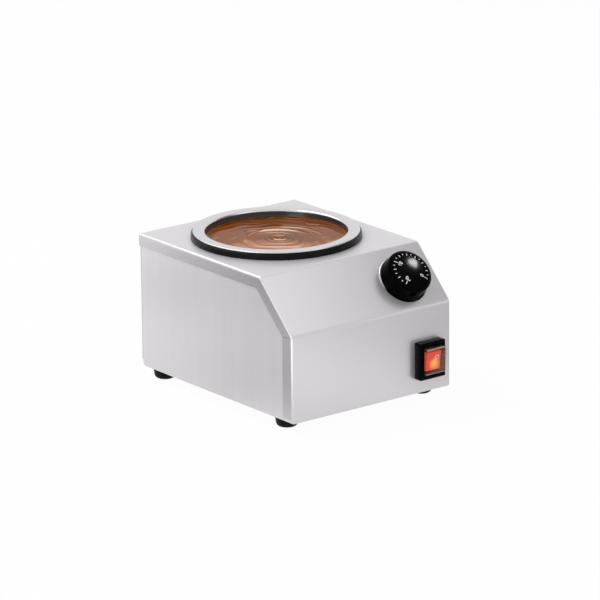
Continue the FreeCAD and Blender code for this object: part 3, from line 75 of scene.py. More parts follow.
look = Vector((math.sin(YAW) * math.cos(PITCH), math.cos(YAW) * math.cos(PITCH), -math.sin(PITCH)))
level_right = Vector((math.cos(YAW), -math.sin(YAW), 0))
level_up = level_right.cross(look)
right = level_right * math.cos(ROLL) + level_up * math.sin(ROLL)
up = level_up * math.cos(ROLL) - level_right * math.sin(ROLL)

lens = bpy.data.cameras.new("camera")
lens.lens = LENS
lens.sensor_width = SENSOR
lens.clip_end = FAR_CLIP
camera = bpy.data.objects.new("camera", lens)
facing = Matrix((right, up, -look)).transposed().to_4x4()
camera.matrix_world = Matrix.Translation(AIM - look * DISTANCE) @ facing
bpy.context.scene.collection.objects.link(camera)
bpy.context.scene.camera = camera
bpy.context.scene.view_settings.view_transform = "Standard"
print("camera at", [round(v, 3) for v in camera.location])

# %% [markdown]
# Every material here is a small tree of nodes round one Principled shader. Written in full,
# each node takes several lines, so a few helpers come first. Node settings and the values of
# unlinked sockets can then be given by name in one call.

# %% Helpers for materials and objects
def new_material(name):
    """An empty node material and its node tree, with a Principled shader."""
    material = bpy.data.materials.new(name)
    material.use_nodes = True
    tree = material.node_tree
    return material, tree, tree.nodes["Principled BSDF"]


def add_node(tree, kind, **settings):
    """A node of that kind, with its settings and its unlinked inputs given by name."""
    node = tree.nodes.new(kind)
    for key, value in settings.items():
        if hasattr(node, key):
            setattr(node, key, value)
        else:
            node.inputs[key.replace("_", " ").title()].default_value = value
    return node


def grey(value):
    """A neutral colour."""
    return (value, value, value, 1)


def link_object(name, data):
    """A new object in the scene that holds the data."""
    piece = bpy.data.objects.new(name, data)
    bpy.context.scene.collection.objects.link(piece)
    return piece


def flat_square(name, half_side, place):
    """A flat square for the studio, with its place in its mesh."""
    bm = bmesh.new()
    bmesh.ops.create_grid(bm, x_segments=2, y_segments=2, size=half_side)
    bmesh.ops.transform(bm, matrix=place, verts=bm.verts)
    mesh = bpy.data.meshes.new(name)
    bm.to_mesh(mesh)
    bm.free()
    return link_object(name, mesh)


print("helpers ready")

# %% [markdown]
# Steel shows its surroundings more than its own colour, so the floor matters as much as the
# metal. It is plain white to the camera, and it gives up a small share of that white to take a
# soft shadow. To the rays that the steel reflects it has soft round pools, some darker and some
# brighter, as a real room has. They draw the slow shades on the sheet and the bright line along
# the front left fold, and no lamp could do that without whitening the whole sheet.

# %% Floor
FLOOR_HALF = 6.0
floor = flat_square("studio_floor", FLOOR_HALF, Matrix.Identity(4))
print("floor of", 2 * FLOOR_HALF, "m")

# %% White of the floor, and the pools that the steel sees in it
FLOOR_SHADOW = 0.04
FLOOR_COLOUR = 0.85
FLOOR_ROUGH = 0.9
POOLS = (  # x, y and radius in metres, and how much brighter than the floor's 1
    (-0.26, 0.02, 0.30, -0.52),
    (-0.46, 0.31, 0.30, -0.90),
    (-0.42, 0.68, 0.28, 0.35),
    (0.34, -0.30, 0.36, -0.65),
    (0.05, -0.33, 0.22, 0.30),
    (-0.36, -0.33, 0.25, 3.00),
)


def add_pool(tree, place, strength, x, y, radius, gain):
    """The strength with one round pool added, which fades out at its radius."""
    away = add_node(tree, "ShaderNodeVectorMath", operation="DISTANCE")
    away.inputs[1].default_value = (x, y, 0)
    pool = add_node(tree, "ShaderNodeMapRange", interpolation_type="SMOOTHSTEP", To_Min=gain)
    pool.inputs["From Max"].default_value = radius
    pool.inputs["To Max"].default_value = 0.0
    total = add_node(tree, "ShaderNodeMath", operation="ADD")
    tree.links.new(place, away.inputs[0])
    tree.links.new(away.outputs["Value"], pool.inputs["Value"])
    tree.links.new(strength, total.inputs[0])
    tree.links.new(pool.outputs["Result"], total.inputs[1])
    return total.outputs[0]


floor_material, tree, shader = new_material("studio_white")
shader.inputs["Base Color"].default_value = grey(FLOOR_COLOUR)
shader.inputs["Roughness"].default_value = FLOOR_ROUGH
place = add_node(tree, "ShaderNodeTexCoord")
plain = add_node(tree, "ShaderNodeValue")
plain.outputs[0].default_value = 1.0
mirrored = plain.outputs[0]
for spot in POOLS:
    mirrored = add_pool(tree, place.outputs["Object"], mirrored, *spot)
rays = add_node(tree, "ShaderNodeLightPath")
white = add_node(tree, "ShaderNodeMix", data_type="FLOAT", B=1.0)
seen = add_node(tree, "ShaderNodeMath", operation="MAXIMUM")
seen_through = add_node(tree, "ShaderNodeMath", operation="MAXIMUM")
share = add_node(tree, "ShaderNodeMath", operation="MULTIPLY")
share.inputs[1].default_value = 1 - FLOOR_SHADOW
glow = add_node(tree, "ShaderNodeEmission")
mix = add_node(tree, "ShaderNodeMixShader")
output = tree.nodes["Material Output"]
tree.links.new(rays.outputs["Is Camera Ray"], white.inputs["Factor"])
tree.links.new(mirrored, white.inputs["A"])
tree.links.new(white.outputs["Result"], glow.inputs["Strength"])
tree.links.new(rays.outputs["Is Camera Ray"], seen.inputs[0])
tree.links.new(rays.outputs["Is Glossy Ray"], seen.inputs[1])
tree.links.new(seen.outputs[0], seen_through.inputs[0])
tree.links.new(rays.outputs["Is Transmission Ray"], seen_through.inputs[1])
tree.links.new(seen_through.outputs[0], share.inputs[0])
tree.links.new(share.outputs[0], mix.inputs["Fac"])
tree.links.new(shader.outputs[0], mix.inputs[1])
tree.links.new(glow.outputs[0], mix.inputs[2])
tree.links.new(mix.outputs[0], output.inputs["Surface"])
floor.data.materials.append(floor_material)
print("pools in the floor:", len(POOLS))

# %% [markdown]
# The sky is white to the camera, a little below white to reflections, and weaker as a light,
# so that pale steel keeps its shades. Three broad lamps shape the box: one above, one at the
# left and a weak one behind. Two small ones light one piece each: one puts the round highlight
# on the dial, and the other stands behind the chocolate as a window would.

# %% Sky
WORLD_LIGHT = 0.70
WORLD_MIRRORED = 0.95

world = bpy.data.worlds.new("studio")
bpy.context.scene.world = world
world.use_nodes = True
tree = world.node_tree
sky = tree.nodes["Background"]
sky.inputs["Color"].default_value = grey(1.0)
rays = add_node(tree, "ShaderNodeLightPath")
mirrored = add_node(tree, "ShaderNodeMapRange", To_Min=WORLD_LIGHT, To_Max=WORLD_MIRRORED)
level = add_node(tree, "ShaderNodeMix", data_type="FLOAT", B=1.0)
tree.links.new(rays.outputs["Is Glossy Ray"], mirrored.inputs["Value"])
tree.links.new(rays.outputs["Is Camera Ray"], level.inputs["Factor"])
tree.links.new(mirrored.outputs["Result"], level.inputs["A"])
tree.links.new(level.outputs["Result"], sky.inputs["Strength"])
print("sky:", WORLD_LIGHT, "as light,", WORLD_MIRRORED, "in reflections")

# %% Lamps
LAMPS = (  # name, place and size in metres, power in watts
    ("lamp_above", (-0.35, 0.8, 1.45), 0.9, 6),
    ("lamp_left", (-1.6, -0.5, 0.7), 0.9, 4),
    ("lamp_behind", (-0.6, 1.5, 1.1), 0.8, 2.5),
    ("lamp_dial", (0.262, -0.157, 0.356), 0.045, 1.5),
    ("lamp_pool", (0.66, 0.95, 0.72), 0.34, 0.30),
)


def soft_lamp(name, place, size, power):
    """A square area lamp that faces the melter."""
    data = bpy.data.lights.new(name, "AREA")
    data.size = size
    data.energy = power
    lamp = link_object(name, data)
    place = Vector(place)
    lamp.location = place
    lamp.rotation_mode = "QUATERNION"
    lamp.rotation_quaternion = (place - AIM).to_track_quat("Z", "Y")
    return lamp


def light_only(lamp, piece):
    """The lamp lights this piece and nothing else."""
    lit = bpy.data.collections.new("lit_by_" + lamp.name)
    lit.objects.link(piece)
    lamp.light_linking.receiver_collection = lit


lamps = {row[0]: soft_lamp(*row) for row in LAMPS}
lamps["lamp_dial"].visible_camera = False
print("lamps:", list(lamps))

# %% [markdown]
# A card that fades from white to grey hangs over the right of the slope, and the steel there
# reflects it: a broad plate of metal looks flat unless something in its surroundings changes
# over it. Only reflections see the card.

# %% Fading card over the slope
CARD_PLACE = Vector((0.38, -0.25, 0.52))
CARD_HALF = 0.30
CARD_WHITE = 1.45
CARD_GREY = 0.25
CARD_FADE = (0.20, 0.46)  # x in metres where the fade starts and ends

facing = (CARD_PLACE - AIM).to_track_quat("Z", "Y").to_matrix().to_4x4()
card = flat_square("studio_card", CARD_HALF, Matrix.Translation(CARD_PLACE) @ facing)
card_material, tree, shader = new_material("studio_grey")
shader.inputs["Base Color"].default_value = grey(0)
shader.inputs["Specular IOR Level"].default_value = 0
shader.inputs["Emission Color"].default_value = grey(1)
place = add_node(tree, "ShaderNodeTexCoord")
across = add_node(tree, "ShaderNodeSeparateXYZ")
fade = add_node(tree, "ShaderNodeMapRange", interpolation_type="SMOOTHSTEP")
fade.inputs["From Min"].default_value, fade.inputs["From Max"].default_value = CARD_FADE
fade.inputs["To Min"].default_value = CARD_WHITE
fade.inputs["To Max"].default_value = CARD_GREY
tree.links.new(place.outputs["Object"], across.inputs[0])
tree.links.new(across.outputs["X"], fade.inputs["Value"])
tree.links.new(fade.outputs["Result"], shader.inputs["Emission Strength"])
card.data.materials.append(card_material)
card.visible_camera = False
card.visible_diffuse = False
card.visible_shadow = False
card.visible_transmission = False
print("card of", 2 * CARD_HALF, "m")

# %% [markdown]
# Several finishes share one effect: short streaks left by brushing or spinning. It is built
# once as a node group. Each material stretches its coordinates with a Mapping node before the
# group, so the streaks run along the sheet, and takes a tone and a height from it.

# %% Node group: brushed streaks
def make_streak_group():
    """Streaks laid over slow clouds, as a tone, and the streaks alone as a height."""
    group = bpy.data.node_groups.new("brushed_streaks", "ShaderNodeTree")
    face = group.interface
    face.new_socket("Stretched", in_out="INPUT", socket_type="NodeSocketVector")
    face.new_socket("Plain", in_out="INPUT", socket_type="NodeSocketVector")
    face.new_socket("Cloud Size", in_out="INPUT", socket_type="NodeSocketFloat")
    face.new_socket("Tone", in_out="OUTPUT", socket_type="NodeSocketFloat")
    face.new_socket("Height", in_out="OUTPUT", socket_type="NodeSocketFloat")
    entry = add_node(group, "NodeGroupInput")
    leave = add_node(group, "NodeGroupOutput")
    fine = add_node(group, "ShaderNodeTexNoise", Scale=1.0, Detail=3.0)
    cloud = add_node(group, "ShaderNodeTexNoise", Detail=2.0)
    half = add_node(group, "ShaderNodeMath", operation="MULTIPLY")
    half.inputs[1].default_value = 0.5
    blend = add_node(group, "ShaderNodeMath", operation="MULTIPLY_ADD")
    blend.inputs[1].default_value = 0.5
    group.links.new(entry.outputs["Stretched"], fine.inputs["Vector"])
    group.links.new(entry.outputs["Plain"], cloud.inputs["Vector"])
    group.links.new(entry.outputs["Cloud Size"], cloud.inputs["Scale"])
    group.links.new(cloud.outputs["Fac"], half.inputs[0])
    group.links.new(fine.outputs["Fac"], blend.inputs[0])
    group.links.new(half.outputs[0], blend.inputs[2])
    group.links.new(blend.outputs[0], leave.inputs["Tone"])
    group.links.new(fine.outputs["Fac"], leave.inputs["Height"])
    return group


streaks = make_streak_group()
print("group:", streaks.name)

# %% [markdown]
# The top cover is satin sheet, brushed from side to side. A picture of brushed steel would
# show its edges and repeat, so the streaks are noise, stretched far more along one axis than
# along the others. Satin scatters a part of the light, so its shader is not fully metallic, and
# the level deck scatters the most, which keeps it pale. The flanges are the same sheet in a
# darker colour, which is painted shade. The side panels are the same steel in a paler colour,
# which is painted light, and show soft upright bands, which are the same streaks made longer
# and wider. The pan is spun and nearly polished, and its inner wall is painted dark: painted
# shade inside the pan and a painted reflection of the chocolate that it faces.

# %% Brushed and spun metals
METAL_GRAIN = 0.2 * MM
CLOUDS = 9.0  # slow clouds per metre
ALONG_X = (25, 1800, 1800)  # streaks per metre along x, y and z
ALONG_Y = (1800, 25, 1800)
EVEN = (900, 900, 900)
AROUND = (30, 30, 900)
BANDS_Z = (110, 110, 6)
SATIN = 0.6
FLANGE_METAL = 0.85
DECK_METAL = 0.3


def vary_surface(tree, shader, amount, height, dark, light, rough, grain):
    """Colour and roughness follow the amount; grain is how strong and how deep the bump is."""
    tone = add_node(tree, "ShaderNodeMix", data_type="RGBA", A=(*dark, 1), B=(*light, 1))
    polish = add_node(tree, "ShaderNodeMapRange", To_Min=rough[0], To_Max=rough[1])
    bump = add_node(tree, "ShaderNodeBump", Strength=grain[0], Distance=grain[1])
    tree.links.new(amount, tone.inputs["Factor"])
    tree.links.new(amount, polish.inputs["Value"])
    tree.links.new(height, bump.inputs["Height"])
    tree.links.new(tone.outputs["Result"], shader.inputs["Base Color"])
    tree.links.new(polish.outputs["Result"], shader.inputs["Roughness"])
    tree.links.new(bump.outputs["Normal"], shader.inputs["Normal"])


def brushed_metal(name, dark, light, rough, stretch, bump=0.05, metal=1.0):
    """A metal whose tone and roughness follow the streaks."""
    material, tree, shader = new_material(name)
    place = add_node(tree, "ShaderNodeTexCoord")
    mapping = add_node(tree, "ShaderNodeMapping", Scale=stretch)
    effect = add_node(tree, "ShaderNodeGroup", node_tree=streaks, Cloud_Size=CLOUDS)
    tree.links.new(place.outputs["Object"], mapping.inputs["Vector"])
    tree.links.new(mapping.outputs["Vector"], effect.inputs["Stretched"])
    tree.links.new(place.outputs["Object"], effect.inputs["Plain"])
    tone, height = effect.outputs["Tone"], effect.outputs["Height"]
    vary_surface(tree, shader, tone, height, dark, light, rough, (bump, METAL_GRAIN))
    shader.inputs["Metallic"].default_value = metal
    return material


cover_steel = brushed_metal(
    "cover_steel", (0.67, 0.65, 0.67), (0.75, 0.728, 0.75), (0.26, 0.34), ALONG_X, metal=SATIN
)
# The flanges: the cover's sheet in a darker colour, which is painted shade.
flange_steel_painted_shade = brushed_metal(
    "flange_steel_painted_shade", (0.62, 0.601, 0.62), (0.72, 0.698, 0.72), (0.20, 0.28), ALONG_Y,
    metal=FLANGE_METAL,
)
deck_steel = brushed_metal(
    "deck_steel", (0.67, 0.65, 0.67), (0.74, 0.718, 0.74), (0.30, 0.40), ALONG_X, metal=DECK_METAL
)
# The side panels: the cover's steel in a paler colour, which is painted light.
side_steel_painted_light = brushed_metal(
    "side_steel_painted_light", (0.72, 0.698, 0.72), (0.86, 0.834, 0.86), (0.26, 0.34), BANDS_Z, metal=SATIN
)
pan_steel = brushed_metal(
    "pan_steel", (0.58, 0.57, 0.59), (0.72, 0.705, 0.73), (0.12, 0.20), EVEN, 0.02
)
# The pan's inner wall: a dark colour, which is painted shade inside the pan and a painted reflection
# of the chocolate.
pan_wall_painted_shade = brushed_metal(
    "pan_wall_painted_shade", (0.09, 0.082, 0.08), (0.15, 0.14, 0.14), (0.18, 0.26), AROUND, 0.0
)
plated = brushed_metal("plated_steel", (0.50, 0.50, 0.52), (0.72, 0.72, 0.73), (0.22, 0.40), EVEN)
aluminium = brushed_metal(
    "well_aluminium", (0.62, 0.63, 0.65), (0.80, 0.81, 0.83), (0.30, 0.45), EVEN
)
brass = brushed_metal("brass", (0.62, 0.44, 0.18), (0.80, 0.62, 0.30), (0.25, 0.42), EVEN)
copper = brushed_metal("copper", (0.62, 0.30, 0.18), (0.82, 0.45, 0.30), (0.25, 0.42), EVEN)
chrome = brushed_metal(
    "bezel_chrome", (0.80, 0.80, 0.81), (0.90, 0.90, 0.91), (0.08, 0.14), EVEN, 0.0
)
print("metals ready")

# %% [markdown]
# Ring, dial, switch frame and feet are black. A black part in a white studio turns grey if its
# gloss is left at its usual level, so their gloss is far below that and their colours are close
# to nothing. A fine grain moves the tone and the roughness a little, and it is coarse and deep
# on the felt round the well.

# %% Mouldings, rubber and felt
MOULD_GRAIN = 0.3 * MM


def moulding(name, dark, light, rough, scale=600.0, bump=0.04, gloss=0.5):
    """A plastic, rubber or felt whose fine grain moves its tone and its roughness."""
    material, tree, shader = new_material(name)
    place = add_node(tree, "ShaderNodeTexCoord")
    speckle = add_node(tree, "ShaderNodeTexNoise", Scale=scale, Detail=4.0)
    amount = speckle.outputs["Fac"]
    tree.links.new(place.outputs["Object"], speckle.inputs["Vector"])
    vary_surface(tree, shader, amount, amount, dark, light, rough, (bump, MOULD_GRAIN))
    shader.inputs["Specular IOR Level"].default_value = gloss
    return material


ring_black = moulding(
    "ring_black", (0.0015, 0.0015, 0.002), (0.004, 0.004, 0.0045), (0.20, 0.32), gloss=0.12
)
dial_black = moulding(
    "dial_black", (0.0006, 0.0006, 0.0008), (0.0012, 0.0012, 0.0015), (0.12, 0.16), gloss=0.018
)
switch_black = moulding(
    "switch_black", (0.0005, 0.0005, 0.0006), (0.0015, 0.0015, 0.002), (0.22, 0.34), gloss=0.03
)
foot_rubber = moulding(
    "foot_rubber", (0.002, 0.002, 0.002), (0.006, 0.006, 0.006), (0.35, 0.5), bump=0.1, gloss=0.12
)
gland_black = moulding(
    "gland_black", (0.012, 0.012, 0.012), (0.03, 0.03, 0.03), (0.35, 0.5), gloss=0.3
)
silicone = moulding("heater_silicone", (0.40, 0.07, 0.03), (0.55, 0.12, 0.05), (0.5, 0.7))
felt = moulding(
    "glass_fibre", (0.62, 0.60, 0.54), (0.85, 0.83, 0.77), (0.85, 1.0), scale=350.0, bump=0.6
)
cream = moulding("white_moulding", (0.72, 0.70, 0.64), (0.82, 0.80, 0.75), (0.3, 0.45))
brown = moulding("brown_moulding", (0.05, 0.025, 0.012), (0.09, 0.045, 0.02), (0.3, 0.5))
nylon = moulding("sleeve_nylon", (0.66, 0.63, 0.54), (0.78, 0.75, 0.66), (0.35, 0.5))
black_wire = moulding("black_wire", (0.012, 0.012, 0.012), (0.03, 0.03, 0.03), (0.4, 0.6))
red_wire = moulding("red_wire", (0.34, 0.03, 0.025), (0.46, 0.05, 0.04), (0.4, 0.6))
earth_green = moulding("earth_green", (0.05, 0.25, 0.04), (0.10, 0.36, 0.07), (0.4, 0.6))
scale_white = moulding("scale_white", (0.78, 0.78, 0.77), (0.90, 0.90, 0.89), (0.35, 0.5))
mark_tint = moulding("rocker_mark", (0.95, 0.72, 0.62), (1.0, 0.80, 0.72), (0.35, 0.5))
print("mouldings ready")

# %% [markdown]
# The rocker is translucent red plastic with a small neon lamp behind it. The light shows as a
# yellow spot in its lower half and as a red glow over the rest. The spot is a distance from
# one point, in the coordinates of the object, turned to a soft edge; it colours the emission.

# %% Lit rocker and its lamp
LAMP_SPOT = Vector((72.6, -135.8, 41.0)) * MM
ROCKER_REACH = 8.5 * MM
GLASS_REACH = 30 * MM
RED_DARK = (0.55, 0.035, 0.02, 1)
RED_LIGHT = (0.75, 0.07, 0.035, 1)
GLOW_RED = (0.36, 0.025, 0.012, 1)
GLOW_YELLOW = (1.0, 0.50, 0.08, 1)


def lit_plastic(name, reach):
    """Translucent red plastic that glows yellow round the lamp."""
    material, tree, shader = new_material(name)
    place = add_node(tree, "ShaderNodeTexCoord")
    away = add_node(tree, "ShaderNodeVectorMath", operation="DISTANCE")
    away.inputs[1].default_value = LAMP_SPOT
    near = add_node(tree, "ShaderNodeMapRange", interpolation_type="SMOOTHSTEP", From_Max=reach)
    near.inputs["To Min"].default_value = 1.0
    near.inputs["To Max"].default_value = 0.0
    cloud = add_node(tree, "ShaderNodeTexNoise", Scale=350.0, Detail=3.0)
    red = add_node(tree, "ShaderNodeMix", data_type="RGBA", A=RED_DARK, B=RED_LIGHT)
    glow = add_node(tree, "ShaderNodeMix", data_type="RGBA", A=GLOW_RED, B=GLOW_YELLOW)
    tree.links.new(place.outputs["Object"], away.inputs[0])
    tree.links.new(away.outputs["Value"], near.inputs["Value"])
    tree.links.new(place.outputs["Object"], cloud.inputs["Vector"])
    tree.links.new(cloud.outputs["Fac"], red.inputs["Factor"])
    tree.links.new(near.outputs["Result"], glow.inputs["Factor"])
    tree.links.new(red.outputs["Result"], shader.inputs["Base Color"])
    tree.links.new(glow.outputs["Result"], shader.inputs["Emission Color"])
    shader.inputs["Emission Strength"].default_value = 1.0
    shader.inputs["Roughness"].default_value = 0.3
    return material


rocker_red = lit_plastic("rocker_red", ROCKER_REACH)
lamp_glass = lit_plastic("lamp_glass", GLASS_REACH)
print("lit plastics ready")

# %% [markdown]
# The cap over the rocker is clear and flexible. A glass shader would bend the light in it, but
# its wall is too thin to do that, so it is made nearly transparent with alpha, and more opaque
# where the eye meets it at a glancing angle. Its faint red is painted: it stands for the red
# rocker seen through its sides. The rounded edges of a clear moulding gather light, so they get
# a paler and less clear version, which is a painted glint.

# %% Clear cap
def thin_clear(name, colour, faint, edge):
    """A thin clear wall: its alpha rises from faint, seen square, to edge, seen along it."""
    material, tree, shader = new_material(name)
    facing = add_node(tree, "ShaderNodeLayerWeight", Blend=0.35)
    opaque = add_node(tree, "ShaderNodeMapRange", To_Min=faint, To_Max=edge)
    place = add_node(tree, "ShaderNodeTexCoord")
    ripple = add_node(tree, "ShaderNodeTexNoise", Scale=120.0, Detail=2.0)
    wave = add_node(tree, "ShaderNodeBump", Strength=0.25, Distance=1 * MM)
    tree.links.new(facing.outputs["Facing"], opaque.inputs["Value"])
    tree.links.new(opaque.outputs["Result"], shader.inputs["Alpha"])
    tree.links.new(place.outputs["Object"], ripple.inputs["Vector"])
    tree.links.new(ripple.outputs["Fac"], wave.inputs["Height"])
    tree.links.new(wave.outputs["Normal"], shader.inputs["Normal"])
    shader.inputs["Base Color"].default_value = (*colour, 1)
    shader.inputs["Roughness"].default_value = 0.08
    return material


# A faint red, painted for the red rocker seen through the cap's sides.
clear_cap = thin_clear("clear_cap", (0.34, 0.13, 0.10), 0.04, 0.42)
# Paler and more opaque edges: painted glints.
clear_edge_glint = thin_clear("clear_cap_painted_glint", (0.85, 0.70, 0.66), 0.30, 0.75)
print("clear plastics ready")

# %% [markdown]
# Molten chocolate is a brown liquid with a smooth skin. The folds are made in the mesh. Their
# light and shade are painted into the colour: one side of each fold is painted pale, as a window
# behind the melter would light it, and the other is painted dark. The pool stores how far its
# skin leans towards that window, and a ramp of browns, from painted shade to painted sheen,
# reads it.

# %% Chocolate
PAINTED_LIGHT_MARK = "painted_window_light"
CLOUD_SHARE = 0.16
CHOCOLATE_GLOSS = 0.035
# Browns from painted shade at 0 to a painted sheen at 1.
PAINTED_LIGHT_BROWNS = (
    (0.0, (0.060, 0.014, 0.002)),
    (0.30, (0.17, 0.042, 0.006)),
    (0.55, (0.27, 0.080, 0.015)),
    (0.78, (0.46, 0.20, 0.09)),
    (1.0, (0.86, 0.58, 0.43)),
)


def molten(name, painted_browns):
    """A smooth opaque liquid whose tone is painted light and shade, read from the lean of its skin.
    """
    material, tree, shader = new_material(name)
    place = add_node(tree, "ShaderNodeTexCoord")
    cloud = add_node(tree, "ShaderNodeTexNoise", Scale=38.0, Detail=3.0, Distortion=1.2)
    painted_light_node = add_node(tree, "ShaderNodeAttribute", attribute_name=PAINTED_LIGHT_MARK)
    both = add_node(tree, "ShaderNodeMath", operation="MULTIPLY_ADD")
    both.inputs[1].default_value = CLOUD_SHARE
    tone = add_node(tree, "ShaderNodeValToRGB")
    stops = tone.color_ramp.elements
    while len(stops) < len(painted_browns):
        stops.new(0.5)
    for stop, (position, colour) in zip(stops, painted_browns):
        stop.position = position
        stop.color = (*colour, 1)
    polish = add_node(tree, "ShaderNodeMapRange", To_Min=0.04, To_Max=0.09)
    tree.links.new(place.outputs["Object"], cloud.inputs["Vector"])
    tree.links.new(cloud.outputs["Fac"], both.inputs[0])
    tree.links.new(painted_light_node.outputs["Fac"], both.inputs[2])
    tree.links.new(both.outputs[0], tone.inputs["Fac"])
    tree.links.new(cloud.outputs["Fac"], polish.inputs["Value"])
    tree.links.new(tone.outputs["Color"], shader.inputs["Base Color"])
    tree.links.new(polish.outputs["Result"], shader.inputs["Roughness"])
    shader.inputs["Specular IOR Level"].default_value = CHOCOLATE_GLOSS
    return material


chocolate = molten("chocolate_painted_light", PAINTED_LIGHT_BROWNS)
print("chocolate ready")

# %% [markdown]
# Each solid of the melter names the finish of the real piece, so one table dresses all of them,
# the hidden ones too. Naming every solid by hand would take longer, and a new one would be
# missed. The chassis and the rear panel are the same folded steel as the cover, and they alone
# take the finish with upright bands.

# %% Finish of every solid, by its slot
FINISHES = {
    "folded_steel": cover_steel,
    "pan_steel": pan_steel,
    "black_ring": ring_black,
    "foot_rubber": foot_rubber,
    "dial_black": dial_black,
    "bezel_chrome": chrome,
    "switch_black": switch_black,
    "plated_steel": plated,
    "well_aluminium": aluminium,
    "heater_silicone": silicone,
    "glass_fibre": felt,
    "white_moulding": cream,
    "brown_moulding": brown,
    "brass": brass,
    "copper": copper,
    "gland_black": gland_black,
    "clear_cap": clear_cap,
    "rocker_red": rocker_red,
    "lamp_glass": lamp_glass,
    "sleeve_nylon": nylon,
    "black_wire": black_wire,
    "red_wire": red_wire,
    "earth_green": earth_green,
}
# The chassis and the rear panel take the paler steel, which is painted light.
SIDE_NODES = ("chassis", "rear_panel")

slot_of = {row["node"]: row["material_slot"] for row in frame["record"]["subparts"]}
for name, node in nodes.items():
    node.data.materials.clear()
    node.data.materials.append(side_steel_painted_light if name in SIDE_NODES else FINISHES[slot_of[name]])
print("finished:", len(nodes), "solids with", len(FINISHES), "finishes")

# %% [markdown]
# The solids come as loose triangles, so their folds look faceted in a mirror-like finish. The
# folded sheets and the mouldings that are seen get a finished copy: its triangles are merged,
# it is shaded smooth except at real corners, and a Weighted Normal modifier keeps the broad
# flat faces flat.

# %% Helpers for new pieces
SHARP = math.radians(26)
MERGE = 0.001 * MM
body_of = {node: body for body, held in behaviour["bodies"].items() for node in held}


def smooth(mesh):
    """The mesh shaded smooth, with its real corners kept sharp."""
    for polygon in mesh.polygons:
        polygon.use_smooth = True
    mesh.set_sharp_from_angle(angle=SHARP)


def add_piece(name, bm, body, materials, replaced=()):
    """A new piece from the bmesh: shaded, finished, riding on its body."""
    mesh = bpy.data.meshes.new(name)
    bm.to_mesh(mesh)
    bm.free()
    smooth(mesh)
    piece = link_object(name, mesh)
    for material in materials:
        mesh.materials.append(material)
    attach(piece, body)
    if replaced:
        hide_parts(*replaced)
    return piece


def paint_faces(piece, index, chosen):
    """The faces that pass the test take the piece's material of that index."""
    for face in piece.data.polygons:
        if chosen(face):
            face.material_index = index


print("sharp corners from", round(math.degrees(SHARP)), "degrees")

# %% Smooth copies of the folded sheets and the mouldings
FLAT = 0.98
ROUNDED = 0.93


def finished_copy(node, *materials):
    """A merged copy of a node's mesh that stands for the node."""
    bm = bmesh.new()
    bm.from_mesh(nodes[node].data)
    bmesh.ops.remove_doubles(bm, verts=bm.verts, dist=MERGE)
    piece = add_piece(node + "_finished", bm, body_of[node], materials, [node])
    flat = piece.modifiers.new("flat_faces", "WEIGHTED_NORMAL")
    flat.keep_sharp = True
    return piece


cover = finished_copy("top_cover", cover_steel, flange_steel_painted_shade, deck_steel)
# The flanges take the darker steel, which is painted shade.
paint_faces(cover, 1, lambda face: abs(face.normal.x) > FLAT or face.normal.y > FLAT)
paint_faces(cover, 2, lambda face: face.normal.z > FLAT)
finished_copy("chassis", side_steel_painted_light)
finished_copy("rear_panel", side_steel_painted_light)
finished_copy("switch_frame", switch_black)
cap = finished_copy("switch_cap", clear_cap, clear_edge_glint)
# The rounded faces take the painted glints.
paint_faces(cap, 1, lambda face: max(abs(value) for value in face.normal) < ROUNDED)
finished_copy("switch_rocker", rocker_red)
finished_copy("gland_nut", gland_black)
finished_copy("gland_body", gland_black)

# %% [markdown]
# Ring, pan, bezel, dial and feet are turned shapes. Each is one profile of corners with a
# radius at each corner, spun about its axis. Spinning a fine profile gives even bands, which
# reflect without the dents that a cut-up solid shows.

# %% Helper: a profile with rounded corners
ARC_STEP = math.radians(9)


def arc_profile(corners):
    """Points (radius, height) in millimetres along corners (radius, height, rounding)."""
    points = []
    for index, (r, h, rounding) in enumerate(corners):
        here = Vector((r, h))
        if rounding <= 0:
            points.append(here)
            continue
        before = (Vector(corners[index - 1][:2]) - here).normalized()
        after = (Vector(corners[(index + 1) % len(corners)][:2]) - here).normalized()
        half = before.angle(after) / 2
        run = rounding / math.tan(half)
        centre = here + (before + after).normalized() * (rounding / math.sin(half))
        start = here + before * run - centre
        end = here + after * run - centre
        sweep = math.pi - 2 * half
        steps = max(2, math.ceil(sweep / ARC_STEP))
        for step in range(steps + 1):
            share = step / steps
            arm = start * math.sin((1 - share) * sweep) + end * math.sin(share * sweep)
            points.append(centre + arm / math.sin(sweep))
    return points


print("a quarter bend has", len(arc_profile([(1, 0, 1), (5, 0, 0), (1, 5, 0)])) - 2, "points")

# %% Helpers: spun bodies that stand for a node
TURNS = 192


def spun(corners, steps=TURNS):
    """A closed turned body about z, as a bmesh in metres."""
    bm = bmesh.new()
    line = [bm.verts.new((p.x * MM, 0, p.y * MM)) for p in arc_profile(corners)]
    pairs = zip(line, line[1:] + line[:1])
    edges = [bm.edges.new(pair) for pair in pairs if pair[0].co.x + pair[1].co.x > MERGE]
    bmesh.ops.spin(bm, geom=line + edges, cent=(0, 0, 0), axis=(0, 0, 1), angle=2 * math.pi,
                   steps=steps, use_merge=True)
    bmesh.ops.remove_doubles(bm, verts=bm.verts, dist=MERGE / 10)
    bmesh.ops.recalc_face_normals(bm, faces=bm.faces)
    return bm


def turned(node, corners, place, materials):
    """A turned piece that stands for a node."""
    bm = spun(corners)
    bmesh.ops.transform(bm, matrix=place, verts=bm.verts)
    return add_piece(node + "_turned", bm, body_of[node], materials, [node])


print("a full turn has", TURNS, "steps")

